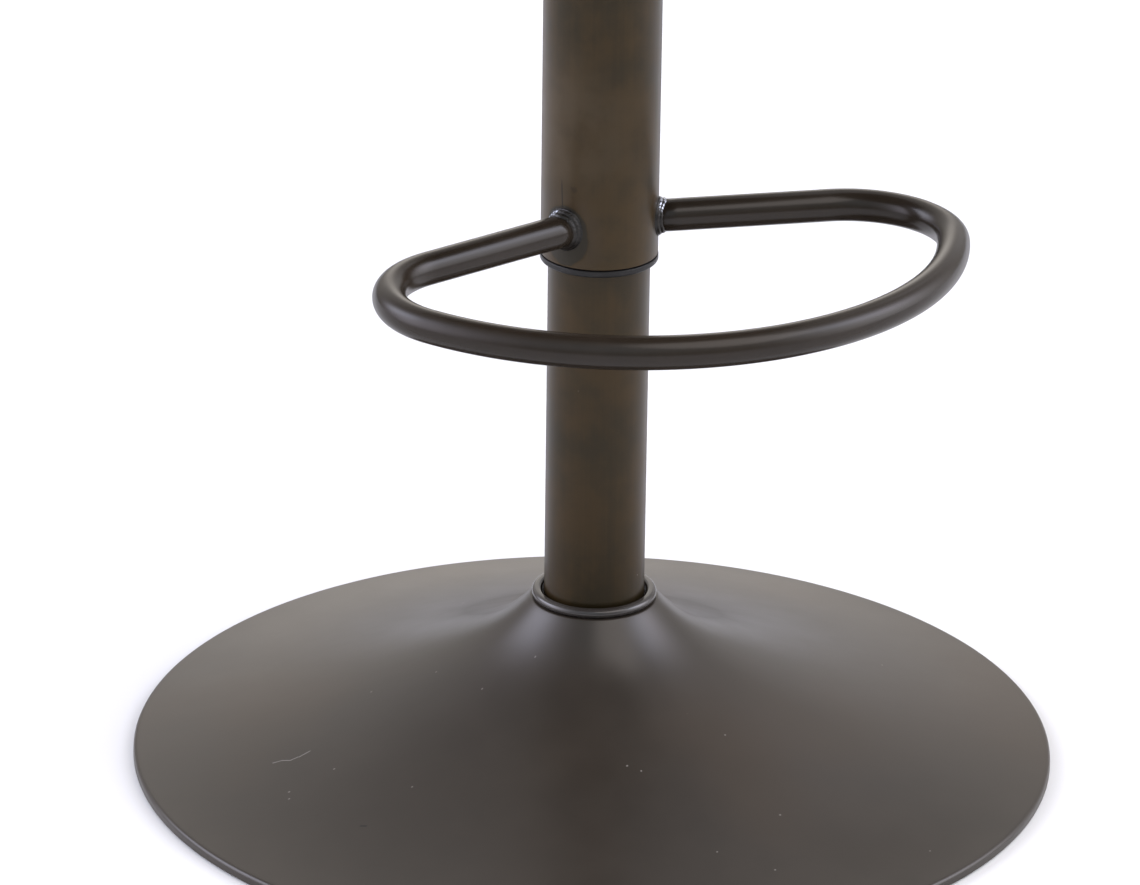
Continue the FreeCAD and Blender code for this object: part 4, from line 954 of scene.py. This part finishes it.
def stitches(name, rows, mat, slot_name):
    """Rows of thread: each stitch is a short bead lying on the surface."""
    verts, faces = [], []
    for points, ups in rows:
        for (p, q), u in zip(points, ups):
            d = (q - p)
            long = d.length * 0.5
            d = d.normalized()
            mid = (p + q) / 2
            s = d.cross(u).normalized()
            w = s.cross(d).normalized()
            start = len(verts)
            profile = ((-1.0, 0.25), (-0.8, 0.75), (-0.3, 1.0), (0.3, 1.0), (0.8, 0.75), (1.0, 0.25))
            for t, k in profile:
                for j in range(6):
                    b = 2 * math.pi * j / 6
                    verts.append((mid + d * t * long + (s * math.cos(b) * 0.42 + w * (math.sin(b) * 0.36 - 0.22 * t * t)) * k) * MM)
            for i in range(len(profile) - 1):
                for j in range(6):
                    l = (j + 1) % 6
                    faces.append((start + i * 6 + j, start + i * 6 + l, start + (i + 1) * 6 + l, start + (i + 1) * 6 + j))
            faces.append(tuple(start + j for j in range(6))[::-1])
            faces.append(tuple(start + (len(profile) - 1) * 6 + j for j in range(6)))
    o = build(name, verts, faces, mat)
    return place(o, "carriage", slot_name)


def ring_row(z, count, table):
    pts, ups = [], []
    for i in range(count):
        ends = []
        for t in (i + 0.14, i + 0.86):
            a = -math.pi + 2 * math.pi * t / count
            f = (t / count * 360 - 0.5) % 360
            lo = int(math.floor(f)) % 360
            rr = table[lo] * (1 - f % 1) + table[(lo + 1) % 360] * (f % 1)
            ends.append(Vector((rr * math.cos(a), rr * math.sin(a), z)))
        a = -math.pi + 2 * math.pi * (i + 0.5) / count
        pts.append(tuple(ends))
        ups.append(Vector((math.cos(a), math.sin(a), 0.0)))
    return pts, ups


rows = [ring_row(615.4, 300, on_side(615.4, 0.12)), ring_row(583.4, 300, on_side(583.4, 0.12))]
stitches("seat_topstitch", rows, thread_look, "seat_hide")

# the side band's own seam at the back, with a row of stitches on each side
back = []
for off in (-3.4, 3.4):
    pts, ups = [], []
    a = math.pi / 2 + off / 192.0
    for k in range(7):
        z0, z1 = 586.6 + k * 4.0, 586.6 + k * 4.0 + 2.9
        ends = []
        for z in (z0, z1):
            table = on_side(z, 0.12)
            f = ((a + math.pi) / (2 * math.pi) * 360 - 0.5) % 360
            rr = table[int(f)] * (1 - f % 1) + table[(int(f) + 1) % 360] * (f % 1)
            ends.append(Vector((rr * math.cos(a), rr * math.sin(a), z)))
        pts.append(tuple(ends))
        ups.append(Vector((math.cos(a), math.sin(a), 0.0)))
    back.append((pts, ups))
stitches("seat_back_seam_stitch", back, thread_look, "seat_hide")


def seam_line():
    """The butted edges of the side band: a narrow raised lip down the back of the seat."""
    verts, faces = [], []
    steps, across = 40, 10
    for i in range(steps + 1):
        z = 579.8 + (619.4 - 579.8) * i / steps
        table_r = on_side(z)[270]
        for j in range(across):
            b = 2 * math.pi * j / across
            a = math.pi / 2 + (0.62 * math.cos(b)) / 192.0
            rr = table_r + 0.10 + 0.42 * math.sin(b) + 0.08 * noise.noise(Vector((z * 0.4, 1.0, 2.0)))
            verts.append((rr * math.cos(a) * MM, rr * math.sin(a) * MM, z * MM))
    for i in range(steps):
        for j in range(across):
            l = (j + 1) % across
            faces.append((i * across + j, i * across + l, (i + 1) * across + l, (i + 1) * across + j))
    faces.append(tuple(range(across)))
    faces.append(tuple(steps * across + j for j in range(across)))
    return build("seat_back_seam", verts, faces, piping_look)


place(seam_line(), "carriage", "seat_hide")


# ---------------------------------------------------------------- dust cover under the seat
def dust_cover():
    """Thin cloth disc with a square hole for the pan, pulled tight and slightly puckered at its staples."""
    half, outer = 81.5, 188.6
    around, steps = 288, 22
    top, low = [], []
    for i in range(around):
        a = 2 * math.pi * i / around
        c, s = math.cos(a), math.sin(a)
        # square with rounded corners
        p = 9.0
        inner = half / ((abs(c) ** p + abs(s) ** p) ** (1 / p))
        for k in range(steps + 1):
            t = k / steps
            r = inner + (outer - inner) * t
            edge = math.exp(-((outer - r) / 9.0) ** 2)
            sag = 0.16 * noise.noise(Vector((r * c / 34.0, r * s / 34.0, 0.2)))
            pull = 0.14 * edge * math.cos(28 * a)
            z = 571.62 + sag * (1 - edge) + pull
            top.append((r * c, r * s, z + 0.14))
            low.append((r * c, r * s, z - 0.14))
    n = steps + 1
    verts = [(x * MM, y * MM, z * MM) for x, y, z in top + low]
    off = len(top)
    faces = []
    for i in range(around):
        k = (i + 1) % around
        for j in range(steps):
            faces.append((i * n + j, k * n + j, k * n + j + 1, i * n + j + 1))
            faces.append((off + i * n + j, off + i * n + j + 1, off + k * n + j + 1, off + k * n + j))
        faces.append((i * n, off + i * n, off + k * n, k * n))
        faces.append((i * n + steps, k * n + steps, off + k * n + steps, off + i * n + steps))
    return build("dust_cover_cloth", verts, faces, nonwoven_look)


cover = dust_cover()


def cover_hem():
    """The folded edge of the cloth, a flat band round the outside."""
    outline = rounded([(181.0, 571.18, 0.12), (189.0, 571.18, 0.2), (189.0, 571.62, 0.2), (181.0, 571.62, 0.12)], 3)

    def warp(r, z, a):
        return r + (0.35 * noise.noise(Vector((math.cos(a) * 9, math.sin(a) * 9, 1.0))) if r < 185 else 0.0), z + 0.05 * math.cos(28 * a)

    return lathe("dust_cover_hem", outline, 336, nonwoven_look, warp)


hem = cover_hem()


def staples():
    """Wire staples round the hem, each a little out of line."""
    verts, faces = [], []
    rng = np.random.default_rng(11)
    for k in range(28):
        a = 2 * math.pi * (k + 0.5) / 28 + rng.uniform(-0.012, 0.012)
        tilt = math.pi / 2 + rng.uniform(-0.22, 0.22)
        mid = Vector((184.6 * math.cos(a), 184.6 * math.sin(a), 571.08))
        d = Vector((math.cos(a + tilt), math.sin(a + tilt), 0.0))
        u = Vector((0, 0, -1.0))
        path = [mid - d * 5.3 - u * 1.0, mid - d * 5.3 - u * 0.35, mid - d * 5.0 - u * 0.05, mid - d * 4.4 + u * 0.02, mid + d * 4.4 + u * 0.02,
                mid + d * 5.0 - u * 0.05, mid + d * 5.3 - u * 0.35, mid + d * 5.3 - u * 1.0]
        start = len(verts)
        side = d.cross(u).normalized()
        for i, p in enumerate(path):
            q = (path[min(i + 1, len(path) - 1)] - path[max(i - 1, 0)]).normalized()
            w = q.cross(side).normalized()
            for j in range(8):
                b = 2 * math.pi * (j + 0.5) / 8
                sx, sy = math.cos(b), math.sin(b)
                verts.append((p + side * sx * 0.55 + w * sy * 0.27) * MM)
        for i in range(len(path) - 1):
            for j in range(8):
                l = (j + 1) % 8
                faces.append((start + i * 8 + j, start + i * 8 + l, start + (i + 1) * 8 + l, start + (i + 1) * 8 + j))
        faces.append(tuple(start + j for j in range(8)))
        faces.append(tuple(start + (len(path) - 1) * 8 + j for j in range(8)))
    return build("dust_cover_staples", verts, faces, zinc)


wires = staples()
place(cover, "carriage", "dust_fabric", "dust_cover")
place(hem, "carriage", "dust_fabric")
place(wires, "carriage", "zinc_bolts")


# ---------------------------------------------------------------- lever grip
def grip():
    """Moulded paddle grip on the lever: oval, thicker at the end, with finger ribs and a parting line."""
    lo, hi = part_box("lever_grip")
    tilt = math.radians(16.0)
    d = Vector((math.cos(tilt), 0.0, -math.sin(tilt)))
    w = Vector((math.sin(tilt), 0.0, math.cos(tilt)))
    side = Vector((0.0, 1.0, 0.0))
    # the rod's centre line runs through (38, 0, 564) at this slope
    origin = Vector((38.0, 0.0, 564.0))
    reach = (hi.x / MM - 38.0) / math.cos(tilt)
    first = reach - 61.0
    around, steps = 48, 150
    verts, faces = [], []
    for i in range(steps + 1):
        t = i / steps
        s = t * 60.4
        body = 5.6 + 1.7 * (1 - math.exp(-s / 7.0)) + 0.5 * math.sin(math.pi * min(1.0, s / 60.0))
        cap_in = min(1.0, (s + 0.02) / 2.2)
        cap_out = min(1.0, (60.4 - s + 0.02) / 4.2)
        shape = math.sqrt(max(0.0, 1 - (1 - cap_in) ** 2)) * 0.5 + 0.5 if cap_in < 1 else 1.0
        shape *= math.sqrt(max(0.0, 1 - (1 - cap_out) ** 2)) if cap_out < 1 else 1.0
        rib = 0.0
        if 15.0 < s < 46.0:
            rib = 0.32 * (0.5 - 0.5 * math.cos(2 * math.pi * (s - 15.0) / 4.43)) * min(1.0, (s - 15.0) / 3, (46.0 - s) / 3)
        for j in range(around):
            b = 2 * math.pi * j / around
            c, z = math.cos(b), math.sin(b)
            q = body * shape
            flat = 1.0 - 0.10 * abs(z) ** 3
            rr = q * flat - rib * abs(z) ** 1.5
            if abs(abs(c) - 1) < 0.006:
                rr += 0.07 * min(1.0, shape)
            p = origin + d * (first + s) + side * (c * rr) + w * (z * rr)
            verts.append(p * MM)
    for i in range(steps):
        for j in range(around):
            l = (j + 1) % around
            faces.append((i * around + j, i * around + l, (i + 1) * around + l, (i + 1) * around + j))
    faces.append(tuple(range(around)))
    faces.append(tuple(steps * around + j for j in range(around)))
    return build("lever_grip_moulded", verts, faces, grip_look)


grip_piece = grip()
place(grip_piece, "lever", "grip_plastic", "lever_grip")

# ---------------------------------------------------------------- finishes of the CAD pieces that stay
FINISH = {
    "base_plate": raw_plate, "ballast_disc": cast, "hub_socket": hub_steel, "hub_bolts": zinc, "hub_nuts": zinc,
    "floor_ring": rubber_look, "column_floor": raw_plate, "bearing_lower_race": bearing_steel,
    "bearing_upper_race": bearing_steel, "bearing_balls": bearing_steel, "bearing_cage": brass,
    "guide_bush": plastic_black, "column_glide": acetal, "piston_rod": chrome, "rod_clip": zinc, "clip_washer": zinc,
    "rubber_buffer": rubber("buffer_rubber"), "piston": bearing_steel, "gas_cylinder": cylinder_look,
    "cylinder_gland": plastic_black, "valve_body": acetal, "valve_button": bearing_steel, "taper_socket": hub_steel,
    "sleeve_collar": hub_steel, "seat_pan": pan_look, "lever_pin": zinc, "lever_rod": lever_look, "seat_board": ply_look,
    "seat_bolts": zinc, "seat_washers": zinc, "seat_t_nuts": zinc,
}
SOFT_EDGE = {"hub_bolts": 0.25, "hub_nuts": 0.4, "seat_pan": 0.5, "seat_bolts": 0.3, "seat_washers": 0.2, "base_plate": 0.4,
             "hub_socket": 0.4, "column_floor": 0.3, "guide_bush": 0.3, "taper_socket": 0.4, "sleeve_collar": 0.3,
             "seat_board": 0.6, "seat_t_nuts": 0.2, "lever_pin": 0.3}
for name, o in nodes.items():
    if o.hide_render:
        continue
    mat = FINISH.get(name)
    if mat is None:
        print("no finish for", name)
        continue
    o.data.materials.clear()
    o.data.materials.append(mat)
    if name in SOFT_EDGE:
        weld_mod = o.modifiers.new("weld", "WELD")
        weld_mod.merge_threshold = 0.00001
        bevel = o.modifiers.new("edge", "BEVEL")
        bevel.limit_method = "ANGLE"
        bevel.angle_limit = math.radians(38.0)
        bevel.width = SOFT_EDGE[name] * MM
        bevel.segments = 2
        bevel.harden_normals = False
        w = o.modifiers.new("normals", "WEIGHTED_NORMAL")
        w.keep_sharp = False

# ---------------------------------------------------------------- floor, world and lights
fm = Look("floor_paper", Specular_IOR_Level=0.0)
fm.set("Base Color", fm.mix(fm.span(fm.noise(3.0, 3.0), 0.3, 0.7), (0.735, 0.735, 0.735), (0.750, 0.750, 0.747)))
fm.set("Roughness", 1.0)
fm.set("Emission Color", (1.0, 1.0, 1.0))
fm.set("Emission Strength", 0.05)
fv = [(-40.0, -40.0, -0.0001), (40.0, -40.0, -0.0001), (40.0, 40.0, -0.0001), (-40.0, 40.0, -0.0001)]
floor = build("studio_floor", fv, [(0, 1, 2, 3)], fm.mat, smooth=False)

world = bpy.data.worlds.new("studio")
scene.world = world
world.use_nodes = True
wt = world.node_tree
wt.nodes.clear()
w_out = wt.nodes.new("ShaderNodeOutputWorld")
w_bg = wt.nodes.new("ShaderNodeBackground")
w_co = wt.nodes.new("ShaderNodeTexCoord")
wt.links.new(w_bg.outputs[0], w_out.inputs[0])
FACING = math.atan2(eye.y, eye.x)


def direction(turn, height):
    """Unit vector of a compass turn from the camera's side (to the picture's right) and a height, in degrees."""
    a, e = FACING + math.radians(turn), math.radians(height)
    return Vector((math.cos(a) * math.cos(e), math.sin(a) * math.cos(e), math.sin(e)))


def vector_node(op, a, b):
    n = wt.nodes.new("ShaderNodeVectorMath")
    n.operation = op
    for at, value in ((0, a), (1, b)):
        if isinstance(value, bpy.types.NodeSocket):
            wt.links.new(value, n.inputs[at])
        else:
            n.inputs[at].default_value = value
    return n


# a dim room with soft glows where the studio's diffusers stand: turn, height, spread, colour
GLOWS = (
    (-83.2, 19.7, 19.2, (4.41, 4.27, 4.96)), (-98.4, 35.6, 8.4, (3.54, 3.75, 4.61)), (91.4, 19.9, 21.3, (3.74, 3.72, 3.97)),
    (104.5, 31.1, 8.4, (2.78, 2.55, 3.08)), (88.8, 40.0, 8.7, (2.77, 2.99, 3.71)), (181.2, 14.1, 6.8, (1.99, 1.86, 1.74)),
    (-10.5, 118.6, 13.8, (0.67, 0.68, 0.74)), (-158.0, 26.9, 16.8, (0.78, 0.76, 0.77)), (152.4, 37.8, 4.0, (0.89, 0.87, 0.95)),
    (-5.8, 41.3, 25.6, (0.63, 0.76, 0.89)), (-114.9, 24.3, 7.8, (3.71, 3.78, 4.43)), (158.4, 16.1, 10.9, (0.70, 0.69, 0.73)),
)
total = vector_node("MULTIPLY", (0.089, 0.074, 0.038), (1.0, 1.0, 1.0)).outputs[0]
for turn, height, spread, tint in GLOWS:
    dot = vector_node("DOT_PRODUCT", w_co.outputs["Generated"], direction(turn, height)).outputs["Value"]
    sharp = 1.0 / math.radians(spread) ** 2
    fall = wt.nodes.new("ShaderNodeMath")
    fall.operation = "MULTIPLY_ADD"
    wt.links.new(dot, fall.inputs[0])
    fall.inputs[1].default_value, fall.inputs[2].default_value = sharp, -sharp
    power = wt.nodes.new("ShaderNodeMath")
    power.operation = "EXPONENT"
    wt.links.new(fall.outputs[0], power.inputs[0])
    glow = wt.nodes.new("ShaderNodeVectorMath")
    glow.operation = "SCALE"
    glow.inputs[0].default_value = tint
    wt.links.new(power.outputs[0], glow.inputs["Scale"])
    total = vector_node("ADD", total, glow.outputs[0]).outputs[0]
wt.links.new(total, w_bg.inputs[0])
w_bg.inputs["Strength"].default_value = 1.0


def panel(name, towards, far, size, radiance, colour):
    """A round soft light that faces the middle of the stool."""
    data = bpy.data.lights.new(name, "AREA")
    data.shape = "DISK"
    data.size = size
    data.energy = radiance * math.pi * math.pi * size * size / 4.0
    data.color = colour
    o = bpy.data.objects.new(name, data)
    scene.collection.objects.link(o)
    o.location = Vector((0.0, 0.0, 0.25)) + towards * far
    o.rotation_mode = "QUATERNION"
    o.rotation_quaternion = towards.to_track_quat("Z", "Y")
    o.visible_camera = False
    return o


panel("front_right_light", direction(45.4, 56.6), 2.6, 2.05, 2.35, (1.0, 0.904, 0.858))

scene.view_settings.view_transform = "Standard"
scene.view_settings.look = "None"
